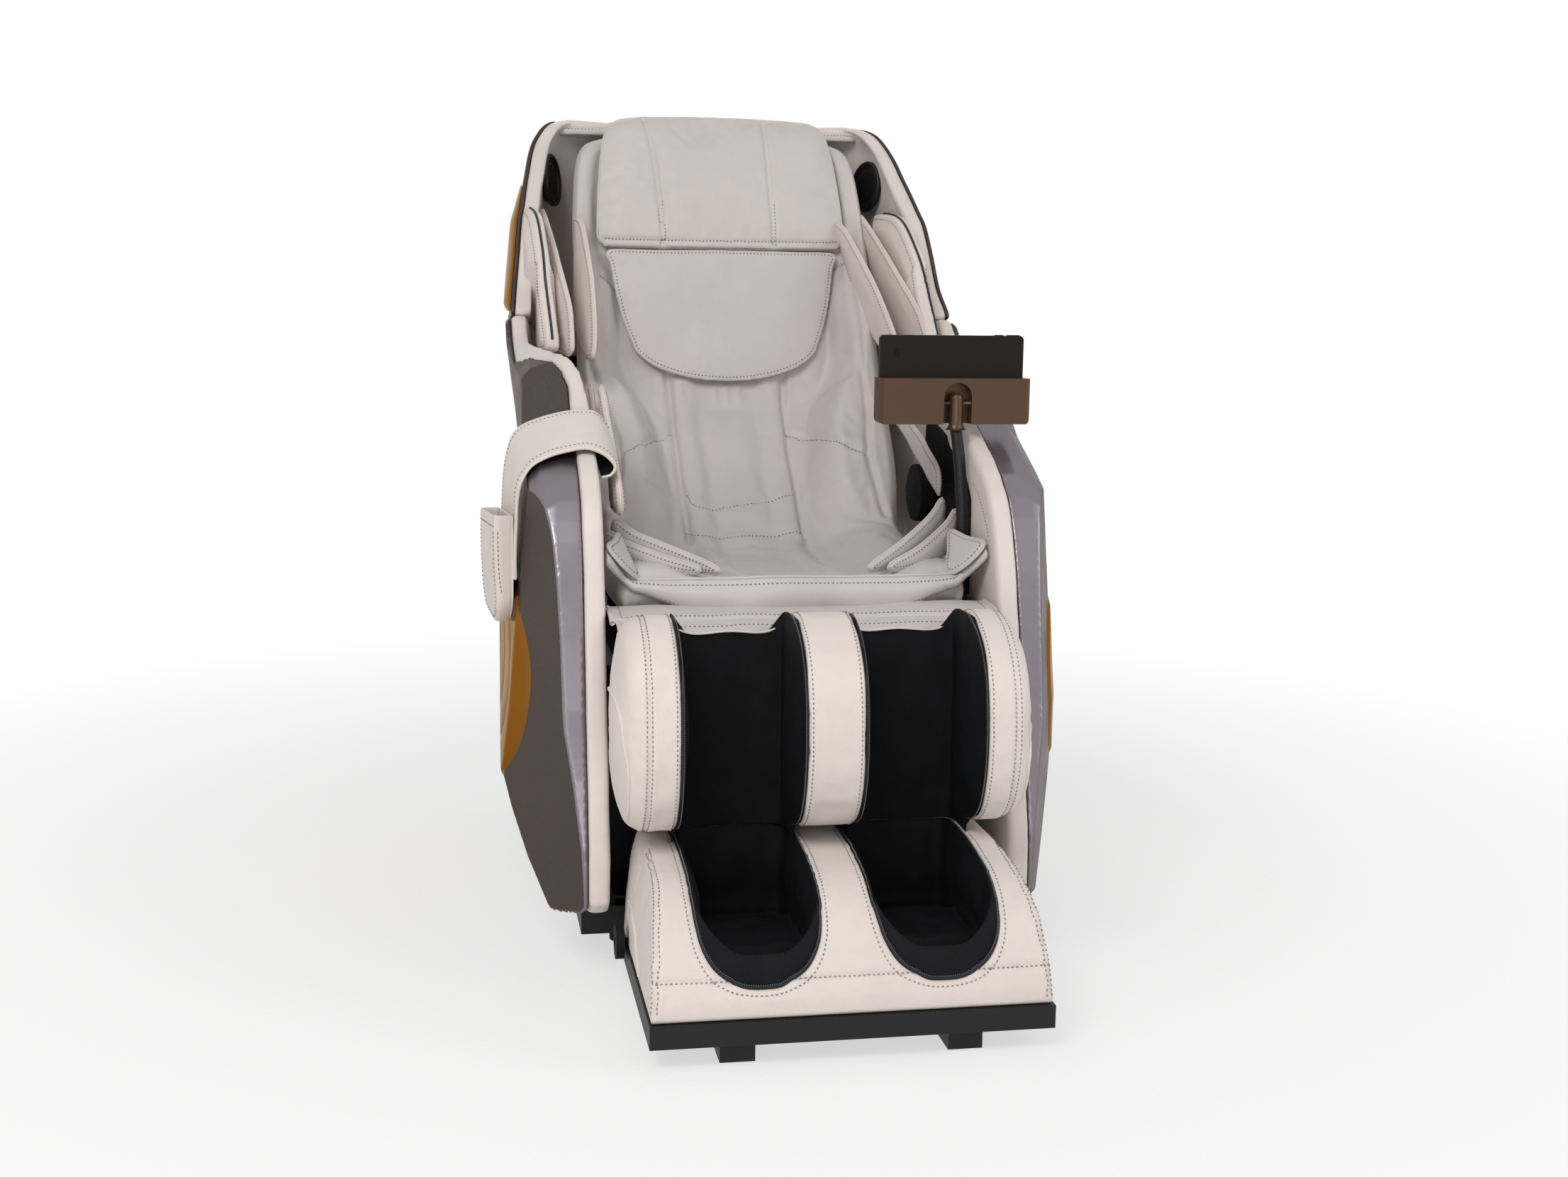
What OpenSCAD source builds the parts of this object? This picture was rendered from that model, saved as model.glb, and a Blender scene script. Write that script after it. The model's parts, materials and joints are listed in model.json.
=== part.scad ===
// Massage chair: fixed base with two arms, reclining backrest, lifting leg rest
// with a sliding foot unit, and a tablet on a gooseneck.
// X points to the sitter's left, Y to the back of the chair and Z up.
// The origin is on the floor, on the middle plane, under the seat.

/* [Arms] */
// Clear width between the linings of the two arms
arm_gap_w = 524; // [516:2:532]
// Thickness of the arm lining, measured across the chair
lining_t = 28; // [24:1:32]
// Wall thickness of the side shells
shell_wall = 4; // [3:0.5:6]
// Radius of the arm's rear edge about the recline axis
arm_arc_r = 453; // [448:1:454]

/* [Backrest] */
// Distance of the recline axis behind the origin
hip_y = 30; // [28:1:32]
// Height of the recline axis
hip_z = 400; // [396:1:404]
// Gap between the arm's rear edge and the hood
hood_gap = 4; // [3:0.5:6]
// Wall thickness of the hood shell
hood_wall = 6; // [4:0.5:8]
// Thickness of the padded hood liner
liner_t = 24; // [18:1:28]
// Thickness of the back pad
back_pad_t = 45; // [38:1:50]
// Climb of the massage carriage
carriage_travel = 260; // [200:10:280]

/* [Seat] */
// Height of the underside of the seat cushion
seat_base_z = 404; // [402:1:408]
// Half the width of the seat cushion
seat_half_w = 226; // [215:1:230]

/* [Leg rest] */
// Distance of the leg rest hinge in front of the origin
knee_y = -475; // [-477:1:-473]
// Height of the leg rest hinge
knee_z = 440; // [438:1:442]
// Half the outer width of the calf unit
calf_half_w = 256; // [252:1:258]
// Inner edge of a calf channel
channel_in = 36; // [34:1:40]
// Outer edge of a calf channel
channel_out = 190; // [186:1:192]
// Half the width of the foot unit at the floor
foot_half_w = 240; // [236:1:242]
// Inner edge of a foot well
well_in = 32; // [30:1:36]
// Outer edge of a foot well
well_out = 182; // [178:1:184]
// Radius of the foot slide rods
slide_rod_r = 8; // [7:0.5:9]

/* [Tablet] */
// Width of the tablet
tablet_w = 208; // [195:1:215]
// Height of the tablet
tablet_h = 119; // [110:1:125]
// Thickness of the tablet
tablet_t = 9; // [8:0.5:12]
// Diameter of the gooseneck
neck_d = 17; // [15:0.5:18]

/* [Hidden] */
$fn = 48;
running = 0.05;         // radial play of every pin and shaft that turns or slides
far = 900;              // longer than any cut needs

// ---- Colours ----
leather_light = [0.87, 0.83, 0.80];
leather_grey = [0.77, 0.73, 0.72];
mesh_black = [0.07, 0.07, 0.08];
plastic_black = [0.10, 0.10, 0.10];
shell_metal = [0.42, 0.38, 0.40];
bronze = [0.50, 0.33, 0.13];
steel_black = [0.16, 0.16, 0.17];
steel_bright = [0.70, 0.71, 0.73];
cradle_bronze = [0.32, 0.25, 0.20];

// ---- Helpers ----
module block(x, y, z) {
    translate([x[0], y[0], z[0]])
        cube([x[1] - x[0], y[1] - y[0], z[1] - z[0]]);
}

// Square tube: a block with a hole of wall t right through along one axis (0 X, 1 Y, 2 Z)
module tube_block(x, y, z, t, along) {
    sx = along == 0 ? -1 : t;
    sy = along == 1 ? -1 : t;
    sz = along == 2 ? -1 : t;
    difference() {
        block(x, y, z);
        block([x[0] + sx, x[1] - sx], [y[0] + sy, y[1] - sy], [z[0] + sz, z[1] - sz]);
    }
}

module both_sides() {
    children();
    mirror([1, 0, 0]) children();
}

// Cylinder along X from x0 to x1, its axis at height z and depth y
module rod_x(x0, x1, y, z, r) {
    translate([x0, y, z]) rotate([0, 90, 0]) cylinder(r = r, h = x1 - x0);
}

// Outline given as [y, z] points, made into a plate between x0 and x1
module side_plate(outline, x0, x1) {
    translate([x0, 0, 0]) rotate([90, 0, 90]) linear_extrude(x1 - x0) polygon(outline);
}

// Outline given as [x, z] points, made into a plate between y0 and y1
module front_plate(outline, y0, y1) {
    translate([0, y1, 0]) rotate([90, 0, 0]) linear_extrude(y1 - y0) polygon(outline);
}

// Everything on the inner side of the plane nx x + ny y + nz z = d
module half_space(nx, ny, nz, d) {
    l = norm([nx, ny, nz]);
    rotate([0, -asin(nz / l), atan2(ny, nx)])
        translate([d / l - 2 * far, -far, -far])
        cube([2 * far, 2 * far, 2 * far]);
}

// Points of a circular arc in a plane, from angle a0 to a1 in n steps
function arc(c, r, a0, a1, n) = [for (i = [0:n])
    let (a = a0 + (a1 - a0) * i / n) [c[0] + r * cos(a), c[1] + r * sin(a)]];

// Skin over rings of equal length. Each ring runs along its front face and back along its rear face.
// The faces are turned over if the rings wind the other way.
module loft(rings) {
    n = len(rings[0]);
    m = len(rings);
    half = n / 2;
    points = [for (r = rings) for (p = r) p];
    walls = [for (i = [0:m - 2]) for (j = [0:n - 1])
        let (a = i * n + j, b = i * n + (j + 1) % n, c = a + n, d = b + n)
        each [[a, b, c], [b, d, c]]];
    ends = [for (i = [0:half - 2])
        let (a = i, b = i + 1, c = n - 2 - i, d = n - 1 - i, t = (m - 1) * n)
        each [[a, d, b], [b, d, c], [a + t, b + t, d + t], [b + t, c + t, d + t]]];
    faces = concat(walls, ends);
    winding = [for (f = faces) points[f[0]] * cross(points[f[1]], points[f[2]])] * [for (f = faces) 1];
    polyhedron(points, winding < 0 ? faces : [for (f = faces) [f[0], f[2], f[1]]], convexity = 6);
}

function mix(a, b, t) = a + (b - a) * t;
function smooth(t) = let (c = max(0, min(1, t))) c * c * (3 - 2 * c);
// Direction of a line of points at its point i, in the plane of the first two coordinates
function along(s, i) =
    let (a = s[max(0, i - 1)], b = s[min(len(s) - 1, i + 1)], d = [b[0] - a[0], b[1] - a[1]])
    d / norm(d);
function bump(x, centre, half) = abs(x - centre) < half ? 0.5 + 0.5 * cos(180 * (x - centre) / half) : 0;

// ---- Arms ----
// Front, top and rear edge of an arm as [y, z] points; the rear edge is an arc about the recline axis
arm_front = [[-558, 112], [-554, 185], [-535, 272], [-509, 358], [-489, 446], [-467, 523],
    [-450, 568], [-437, 592], [-419, 618], [-385, 645], [-341, 668], [-244, 713], [-210, 740],
    [-178, 772], [-150, 788], [-100, 796], [-44, 801], [47, 806], [85, 816], [112, 836]];
arm_rear = arc([hip_y, hip_z], arm_arc_r, 78, -41, 24);
arm_bottom = [[330, 64], [-380, 64], [-480, 80], [-540, 97]];
arm_outline = concat(arm_front, arm_rear, arm_bottom);
lining_in = arm_gap_w / 2;
lining_out = lining_in + lining_t;
// Plan of the lining: narrow along the forearm, wide at the shoulder, as [x, y] points
shoulder_x = 357;
lining_plan = [[lining_in, -600], [lining_out, -600], [lining_out, -190], [lining_out + 12, -160],
    [shoulder_x - 8, -62], [shoulder_x, -40], [shoulder_x, 600], [shoulder_x - 35, 600],
    [shoulder_x - 35, 200], [shoulder_x - 24, 120], [shoulder_x - 24, 0],
    [shoulder_x - 34, -40], [lining_in + 8, -180], [lining_in, -225]];
// Greatest half widths of the shell: seen from the front as [x, z], and from above as [x, y]
shell_front = [[200, 64], [302, 67], [315, 82], [341, 131], [363, 190], [377, 240], [384, 300],
    [385, 350], [383, 420], [374, 500], [358, 600], [350, 660], [356, 710], [363, 755], [370, 800],
    [375, 900], [200, 900]];
shell_shear = -0.045;   // the front view narrows by this much per length towards the back
shell_plan = [[200, -600], [389, -600], [389, -330], [385, -200], [377, 0], [367, 200], [355, 330],
    [336, 490], [200, 490]];

// Everything inside the outer face of a left arm shell; inset draws the face in
module within_shell(inset) {
    intersection() {
        translate([-inset, 0, 0]) multmatrix([[1, shell_shear, 0, 0], [0, 1, 0, 0], [0, 0, 1, 0]])
            front_plate(shell_front, -600, 600);
        translate([-inset, 0, 0]) linear_extrude(far) polygon(shell_plan);
        half_space(1, -0.4246, 0.0766, 560.7 - inset);
        half_space(1, -0.0817, 0.143, 475 - inset);
        half_space(1, -0.0895, 0.0733, 435.4 - inset);
        half_space(1, -0.4246, -0.0264, 526.8 - inset);
    }
}

// Everything under the top of a left arm, which falls towards the outside: [slope, where the fall starts]
top_falls = [[0.33, 295], [1, 325]];
shoulder_lift = 34;     // the fall fades out at the shoulder, where this lifts the line it starts from
module under_top(shift) {
    line = [for (p = arm_front) [p[0], p[1] + shoulder_lift * smooth((p[0] + 120) / 230)]];
    outline = concat(line, [[600, 900], [600, -200], [-700, -200]]);
    intersection_for (f = top_falls)
        multmatrix([[1, 0, 0, 0], [0, 1, 0, 0], [-f[0], 0, 1, f[0] * f[1]]])
            translate([0, shift, -shift]) side_plate(outline, 250, 400);
}

// Solid form of a left arm shell; inset draws its outer faces in
module arm_form(inset) {
    shift = inset > 0 ? inset + 3 : 0;
    intersection() {
        translate([0, 4 + shift, -4 - shift]) side_plate(arm_outline, 270, 390);
        side_plate(arm_outline, 270, 390);
        within_shell(inset);
        under_top(shift);
    }
}

module arm_lining() {
    // Recess for the forearm
    recess = [[-330, 520], [-330, 600], [-290, 640], [-60, 700], [-20, 660], [-20, 520]];
    difference() {
        intersection() {
            side_plate(arm_outline, lining_in, shoulder_x);
            linear_extrude(far) polygon(lining_plan);
            within_shell(shell_wall + 0.3);
            under_top(0);
        }
        side_plate(recess, lining_in - 1, lining_out - 6);
    }
}

module side_shell() {
    difference() {
        arm_form(0);
        intersection() {
            arm_form(shell_wall);
            block([280, 400], [-600, 440], [70, 820]);
        }
        // The lining fills the inner side
        intersection() {
            linear_extrude(far) polygon([[0, -700], [lining_out + 0.3, -700], [lining_out + 0.3, -190],
                [lining_out + 12.3, -160], [shoulder_x - 7.7, -62], [shoulder_x + 0.3, -40],
                [shoulder_x + 0.3, 700], [0, 700]]);
            within_shell(shell_wall);
        }
    }
}

// Glossy oval panel that stands proud of the lower outer face and follows it
insert_centre = [-40, 360];
insert_radii = [378, 208];
insert_proud = 3;
module side_insert() {
    oval = [for (a = [0:7.5:352.5])
        [insert_centre[0] + insert_radii[0] * cos(a), insert_centre[1] + insert_radii[1] * sin(a)]];
    difference() {
        intersection() {
            arm_form(-insert_proud);
            side_plate(oval, 300, 400);
        }
        arm_form(0);
    }
}

module right_side_shell() { color(shell_metal) mirror([1, 0, 0]) side_shell(); }
module left_side_shell() { color(shell_metal) side_shell(); }
module right_side_insert() { color(bronze) mirror([1, 0, 0]) side_insert(); }
module left_side_insert() { color(bronze) side_insert(); }
module right_arm_lining() { color(leather_light) mirror([1, 0, 0]) arm_lining(); }
module left_arm_lining() { color(leather_light) arm_lining(); }

// Black mesh pads in the forearm recesses
module forearm_mesh() {
    color(mesh_black) both_sides() {
        side_plate([[-325, 526], [-325, 590], [-286, 632], [-66, 690], [-28, 656], [-28, 526]],
            lining_out - 14, lining_out - 6.5);
        // Round hand pad on the inner wall
        rod_x(lining_in - 2, lining_out - 14, -150, 585, 44);
    }
}

// Padded flaps that lean inwards above the forearm recesses
module arm_flaps() {
    color(leather_grey) both_sides()
        translate([lining_in - 15, 0, 600]) rotate([0, -6, 0]) translate([0, 0, -600]) side_plate(
            [[-215, 600], [-222, 622], [-205, 640], [40, 735], [62, 728], [60, 700], [-190, 596]], 0, 10);
}

// ---- Remote strap and pocket over the right arm ----
strap_t = 5;
strap_y = [-348, -250];
// Outer face of the band at its front and at its rear edge, as [x, z] points. It starts against the
// inner side of the arm, bulges inwards, runs over the top and ends inside the pocket.
strap_front = [[258, 634], [243, 638], [236, 650], [244, 663], [259, 673], [278, 678], [303, 674],
    [328, 667], [352, 653], [366, 631], [371, 606], [372, 582], [374, 500]];
strap_rear = [[258, 668], [243, 676], [236, 690], [244, 706], [258, 719], [280, 721], [306, 717], [335, 710],
    [360, 699], [374, 682], [381, 655], [385, 625], [391, 500]];
// Front corner of the pocket and the turn that follows the band
pocket_corner = [374.8, -346];
pocket_turn = -9.8;
pocket_base_z = 434;
pocket_rim_z = 585;

function strap_inner(line, i) = let (t = along(line, i)) line[i] + strap_t * [t[1], -t[0]];
module remote_strap() {
    last = len(strap_front) - 1;
    band = [for (i = [0:last])
        let (a = strap_front[i], b = strap_rear[i])
        let (c = strap_inner(strap_rear, i), d = strap_inner(strap_front, i))
        [[a[0], strap_y[0], a[1]], [b[0], strap_y[1], b[1]],
         [c[0], strap_y[1], c[1]], [d[0], strap_y[0], d[1]]]];
    color(leather_light) mirror([1, 0, 0]) {
        loft(band);
        // Padded inner panel with a round lower corner
        translate([223, 0, 600]) rotate([0, 4.4, 0]) translate([0, 0, -600])
            side_plate([[-200, 743], [-212, 736], [-250, 699], [-300, 662], [-340, 627], [-348, 604],
                [-342, 588], [-322, 582], [-236, 582], [-232, 640], [-190, 668], [-165, 745]], 0, 15);
    }
}

module remote_pocket() {
    depth = [2, 96];
    middle = (depth[0] + depth[1]) / 2;
    r = middle - depth[0];
    side = concat([[depth[0], 640]], arc([middle, pocket_base_z + r], r, 180, 360, 12), [[depth[1], 640]]);
    color(leather_light) mirror([1, 0, 0])
        translate([pocket_corner[0], pocket_corner[1], 0]) rotate([0, 0, pocket_turn]) difference() {
            intersection() {
                side_plate(side, 0, 60);
                front_plate([[0, pocket_rim_z], [26, pocket_rim_z], [25, 520], [21, 455], [14, 430],
                    [0, 430]], 0, 100);
            }
            translate([0, 0, 5]) front_plate([[4, 640], [22.5, 640], [22.5, pocket_rim_z], [21.5, 520],
                [17, 455], [4, 455]], depth[0] + 4, depth[1] - 4);
        }
}

// ---- Base ----
rail_x = [205, 245];
rail_y = [-400, 325];
rail_z = [30, 70];
bracket_y = [-250, 170];        // front edges of the brackets that carry the arms
tube_wall = 3;
recline_pivot = [-290, 190];    // fixed end of the recline actuator, as [y, z]
recline_eye = [60, 225];        // its far end on the back frame's lever
lift_pivot = [-100, 200];       // fixed end of the leg rest actuator
lift_eye = [-460, 340];         // its far end on the leg frame's lever
pivot_pin_r = 6;
wheel_pos = [358, 36];          // transport wheel axis as [y, z]
wheel_r = 28;

module base_frame() {
    color(steel_black) {
        both_sides() {
            tube_block(rail_x, rail_y, rail_z, tube_wall, 1);
            // Front and rear posts
            tube_block(rail_x, [-300, -260], [70, 360], tube_wall, 2);
            tube_block(rail_x, [-64, -24], [70, 360], tube_wall, 2);
            // Brackets that carry the side shells
            for (y = bracket_y)
                block([245, lining_in], [y, y + 40], [40, 62]);
            // Plates that carry the transport wheels' axle
            difference() {
                block([205, 213], [325, wheel_pos[0] + 14], [wheel_pos[1] - 14, wheel_pos[1] + 14]);
                rod_x(200, 220, wheel_pos[0], wheel_pos[1], 5 + running);
            }
        }
        tube_block([-205, 205], [-400, -360], rail_z, tube_wall, 0);
        tube_block([-205, 205], [-120, -80], rail_z, tube_wall, 0);
        tube_block([-205, 205], [-20, 20], rail_z, tube_wall, 0);
        tube_block([-205, 205], [285, 325], rail_z, tube_wall, 0);
        // Cross tube and ears for the recline actuator's fixed end
        tube_block([-205, 205], [-300, -270], [120, 150], tube_wall, 0);
        for (x = [-84, -54])
            actuator_ear(x, recline_pivot, 150);
        // Post and ears for the leg rest actuator's fixed end
        tube_block([40, 100], [-115, -85], [70, 160], tube_wall, 2);
        for (x = [50, 80])
            actuator_ear(x, lift_pivot, 160);
        // Pins of the two fixed pivots
        rod_x(-84, -47, recline_pivot[0], recline_pivot[1], pivot_pin_r);
        rod_x(50, 87, lift_pivot[0], lift_pivot[1], pivot_pin_r);
    }
}

// Plate 7 mm thick at x that holds a pivot pin above height z0
module actuator_ear(x, pivot, z0) {
    block([x, x + 7], [pivot[0] - 12, pivot[0] + 12], [z0, pivot[1]]);
    rod_x(x, x + 7, pivot[0], pivot[1], 12);
}

module floor_feet() {
    color(plastic_black) {
        both_sides() for (y = [-370, 215])
            translate([225, y, 0]) foot();
        foot();
    }
}
module foot() {
    cylinder(r = 21, h = 12);
    cylinder(r = 9, h = 30);
}

// Skirt between the arms and the floor, and the curved cover behind the seat
cover_r = 441;
module base_covers() {
    color(plastic_black) {
        difference() {
            linear_extrude(80) polygon([[-288, -411], [288, -411], [288, 300], [262, 336], [-262, 336],
                [-288, 300]]);
            translate([0, 0, -1]) linear_extrude(90) polygon([[-249, -404], [249, -404], [249, 329],
                [-249, 329]]);
            both_sides() translate([0, 0, -1]) linear_extrude(90)
                polygon([[284, -400], [253, -400], [253, 300], [284, 300]]);
            block([-300, 300], [-500, 400], [-1, 22]);
            block([-300, 300], [-500, 400], [60, 90]);
            // Room for the transport wheels, the plates that carry them and the arms' brackets
            both_sides() block([204, 246], [320, 340], [10, 70]);
            for (y = bracket_y)
                both_sides() block([240, 264], [y - 2, y + 42], [38, 64]);
        }
        side_plate(concat(arc([hip_y, hip_z], cover_r, 3, -33, 12),
            arc([hip_y, hip_z], cover_r + 3, -33, 3, 12)), -258, 258);
        // Ribs that carry the cover
        both_sides() side_plate(concat([[300, 50], [333, 50], [352, 90]],
            arc([hip_y, hip_z], cover_r + 1, -33, -20, 4), [[430, 254], [380, 180], [330, 100], [300, 70]]),
            250, 258);
    }
}

module seat_frame() {
    seat_x = [205, 240];
    color(steel_black) {
        both_sides() {
            tube_block(seat_x, [-428, -20], [360, 390], tube_wall, 1);
            // Ears and pins for the backrest hinge
            side_plate([[-60, 362], [-30, 362], [hip_y + 6, hip_z - 21], [hip_y + 6, hip_z + 21],
                [hip_y - 10, hip_z + 20], [-60, 388]], 190, 200);
            rod_x(190, 200, hip_y, hip_z, 22);
            rod_x(188, 214, hip_y, hip_z, 10);
            // Ears and pins for the leg rest hinge
            difference() {
                union() {
                    block([140, 148], [knee_y, -425], [knee_z - 14, knee_z + 10]);
                    rod_x(140, 148, knee_y, knee_z, 16);
                    block([140, 148], [-440, -400], [388, knee_z]);
                }
                block([130, 160], [-500, -430], [360, knee_z - 26]);
            }
            rod_x(122, 156, knee_y, knee_z, slide_rod_r);
        }
        tube_block([-205, 205], [-428, -398], [360, 390], tube_wall, 0);
        tube_block([-205, 205], [-60, -30], [360, 390], tube_wall, 0);
        // Seat pan
        block([-215, 215], [-425, -70], [391, 397]);
    }
}

// ---- Seat ----
// Stations of the seat cushion from rear to front: [y, top z, rise at the sides, half width]
seat_stations = [[-54, 478, 26, seat_half_w - 20], [-60, 489, 30, seat_half_w - 10],
    [-84, 487, 34, seat_half_w - 4], [-130, 482, 34, seat_half_w],
    [-190, 480, 32, seat_half_w], [-250, 482, 30, seat_half_w], [-310, 488, 28, seat_half_w],
    [-360, 494, 26, seat_half_w], [-386, 492, 24, seat_half_w - 2], [-398, 480, 18, seat_half_w - 12]];
// Places across a pad, as parts of its half width
pad_across = [-1, -0.97, -0.9, -0.82, -0.7, -0.55, -0.47, -0.42, -0.34, -0.27, -0.16, 0,
    0.16, 0.27, 0.34, 0.42, 0.47, 0.55, 0.7, 0.82, 0.9, 0.97, 1];

// Height of a pad's face over its middle: a roll each side of the centre strip and a rise to the edges
function pad_face(u, rise) = let (a = abs(u))
    9 * bump(a, 0.36, 0.11) - 4 * bump(a, 0.47, 0.06)
    + rise * smooth((a - 0.42) / 0.45) - (a > 0.95 ? 12 * (a - 0.95) / 0.05 : 0);

module seat_cushion() {
    base = seat_base_z;
    rings = [for (s = seat_stations) concat(
        [for (u = pad_across) [u * s[3], s[0], s[1] + pad_face(u, s[2])]],
        [for (i = [len(pad_across) - 1:-1:0]) [pad_across[i] * (s[3] - 8), s[0], base]])];
    color(leather_grey) loft(rings);
}

// Padded front band: its top edge sweeps up to a peak at each side
apron_w = 258;
function apron_y(a) = a < 0.9 ? -452 + 46 * pow(a / 0.9, 2) : -406 - 24 * (a - 0.9) / 0.1;
function apron_top(a) = 515 - 6 * smooth(a / 0.85) + 42 * pow(max(0, (a - 0.85) / 0.15), 1.3);
function apron_drop(a) = 38 - 20 * smooth((a - 0.5) / 0.4);
module seat_apron() {
    across = [for (i = [-14:14]) i / 14];
    rings = [for (u = across) let (a = abs(u), y = apron_y(a), z = apron_top(a), h = apron_drop(a))
        [[u * apron_w, y + 5, z], [u * apron_w, y - 1, z - 4], [u * apron_w, y - 6, z - h * 0.4],
         [u * apron_w, y - 4, z - h * 0.75], [u * apron_w, y + 3, z - h],
         [u * apron_w, y + 9, z - h], [u * apron_w, y + 8, z - h * 0.75], [u * apron_w, y + 8, z - h * 0.4],
         [u * apron_w, y + 9, z - 4], [u * apron_w, y + 8, z]]];
    color(leather_grey) loft(rings);
}

// Two upright padded leaves at each hip; those of the right side lie lower by droop at their outer ends
hip_turn = 40;
module hip_leaves(droop) {
    translate([106, -404, 0]) rotate([0, 0, hip_turn])
        front_plate([[0, 513], [0, 523], [60, 547 - droop * 0.3], [130, 578 - droop * 0.8],
            [158, 598 - droop], [170, 595 - droop], [166, 538], [120, 523]], -5, 5);
    translate([118, -408, 0]) rotate([0, 0, hip_turn - 3])
        front_plate([[14, 514], [14, 524], [70, 542 - droop * 0.3], [130, 570 - droop * 0.8],
            [150, 586 - droop], [160, 582 - droop], [158, 534], [120, 522]], -8, -3);
}
module hip_flaps() {
    color(leather_grey) {
        hip_leaves(0);
        mirror([1, 0, 0]) hip_leaves(26);
    }
}

// ---- Electrical and air parts under the seat ----
module power_box() {
    color(plastic_black) difference() {
        block([-150, 20], [232, 345], [76, 148]);
        block([-146, 16], [236, 341], [80, 144]);
        // Cut-outs for the inlet and for the rocker switch
        block([-132, -84], [340, 346], [96, 128]);
        block([-62, -38], [340, 346], [100, 124]);
    }
}

module mains_inlet() {
    color(mesh_black) difference() {
        union() {
            block([-131.5, -84.5], [322, 345], [96.5, 127.5]);
            block([-135, -81], [345, 348], [93, 131]);
        }
        block([-127, -89], [328, 349], [101, 123]);
    }
    // Three blades
    color(steel_bright) for (p = [[-118, 108], [-108, 116], [-98, 108]])
        block([p[0] - 1, p[0] + 1], [327, 343], [p[1] - 3, p[1] + 3]);
}

// Rocker that tips about its middle
module rocker_switch() {
    color([0.7, 0.1, 0.08])
        side_plate([[346, 101.5], [350, 104], [344.5, 112], [347, 122.5], [338, 121.5], [333, 112],
            [338, 102.5]], -60, -40);
}

module air_pump() {
    color(steel_black) {
        rod_x(-150, -10, 130, 118, 40);
        block([-140, -20], [100, 160], [70, 90]);
        block([-10, 30], [102, 158], [88, 150]);
    }
    // Valve block with its row of hose barbs
    color(plastic_black) {
        block([60, 190], [160, 200], [84, 118]);
        block([70, 180], [170, 190], [70, 84]);
        for (x = [72:16:184])
            translate([x, 180, 118]) cylinder(r = 4, h = 16, $fn = 24);
    }
}

module control_box() {
    color(plastic_black) {
        block([60, 190], [-340, -180], [76, 112]);
        block([66, 184], [-334, -186], [112, 120]);
        block([90, 160], [-330, -190], [70, 76]);
    }
}

// Two wheels on one axle behind the base, clear of the floor until the chair is tipped back
module transport_wheels() {
    color(plastic_black) both_sides() difference() {
        rod_x(218, 242, wheel_pos[0], wheel_pos[1], wheel_r);
        for (i = [0:4])
            rod_x(210, 250, wheel_pos[0] + 17 * cos(72 * i), wheel_pos[1] + 17 * sin(72 * i), 5);
    }
    color(steel_bright) rod_x(-242, 242, wheel_pos[0], wheel_pos[1], 5);
}

// ---- Backrest ----
// Rim of the hood above the arm seam: [z, half width, rim y]; rear face: [z, y]
hood_rim = [[848, 357, 133], [891, 352, 176], [947, 346, 203], [994, 341, 232], [1017, 336, 254],
    [1050, 330, 292], [1078, 324, 324], [1105, 318, 352], [1126, 311, 374], [1145, 300, 388],
    [1156, 291, 402], [1163, 281, 420], [1166, 272, 434]];
hood_arc_r = arm_arc_r + hood_gap;
hood_low = [for (z = [452, 480, 520, 570, 620, 670, 720, 770, 810, 836])
    [z, z < 660 ? 333 : mix(333, 357, smooth((z - 640) / 190)),
        hip_y + sqrt(hood_arc_r * hood_arc_r - (z - hip_z) * (z - hip_z))]];
hood_levels = concat(hood_low, hood_rim);
// Rear face: a bulge behind the shoulders that draws in above and below
function hood_back(z) = z < 800
    ? 604 - 84 * pow((800 - z) / 348, 2.2)
    : 604 - 112 * pow((z - 800) / 366, 2.0);
function hood_point(w, front, back, a) = [
    w * sign(cos(a)) * pow(abs(cos(a)), 0.62), front + (back - front) * pow(sin(a), 0.62)];
hood_steps = 20;
function hood_curve(level, inset) = [for (i = [0:hood_steps])
    let (turn = min(180, 180 * i / hood_steps), back = hood_back(level[0]) - inset)
    let (p = hood_point(level[1] - inset, level[2], back, turn))
    [p[0], p[1], level[0]]];
function hood_ring(level, first, last) = let (p = hood_curve(level, first), q = hood_curve(level, last))
    concat(p, [for (k = [hood_steps:-1:0]) q[k]]);

module hood_shell() {
    color(shell_metal) loft([for (l = hood_levels) hood_ring(l, 0, hood_wall)]);
}

module hood_liner() {
    lined = [for (l = hood_levels) if (l[0] > 760) l];
    color(leather_light) {
        loft([for (l = lined) hood_ring(l, hood_wall + liner_t, hood_wall + 1)]);
        // Closed top behind the head pillow
        translate([0, 0, 1148]) linear_extrude(11)
            polygon([[-262, 424], [-240, 412], [240, 412], [262, 424], [262, 438], [225, 466], [150, 482],
                [-150, 482], [-225, 466], [-262, 438]]);
    }
}

// Glossy insert on each outer face of the hood
module hood_inserts() {
    steps = [0:7];
    levels = [846, 870, 900, 940, 980, 1020, 1052];
    function edge(z) = lookup(z, [for (l = hood_rim) [l[0], l[2]]]);
    function wide(z) = lookup(z, [for (l = hood_rim) [l[0], l[1]]]);
    function reach(z) = 26 + 150 * sin(180 * (z - 790) / 290);
    rings = [for (z = levels) concat(
        [for (i = steps) let (t = i / 7, y = edge(z) + 8 + reach(z) * t)
            [hood_x(wide(z), edge(z), hood_back(z), y) + 2 + 8 * pow(sin(180 * t), 0.6)
                * sin(90 * min(1, (1064 - z) / 90)), y, z]],
        [for (i = [7:-1:0]) let (t = i / 7, y = edge(z) + 8 + reach(z) * t)
            [hood_x(wide(z), edge(z), hood_back(z), y) + 1.2, y, z]])];
    color(bronze) both_sides() loft(rings);
}
// Outer face of the hood at depth y
function hood_x(w, front, back, y) =
    let (s = pow((y - front) / (back - front), 1 / 0.62)) w * pow(sqrt(1 - s * s), 0.62);

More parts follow.
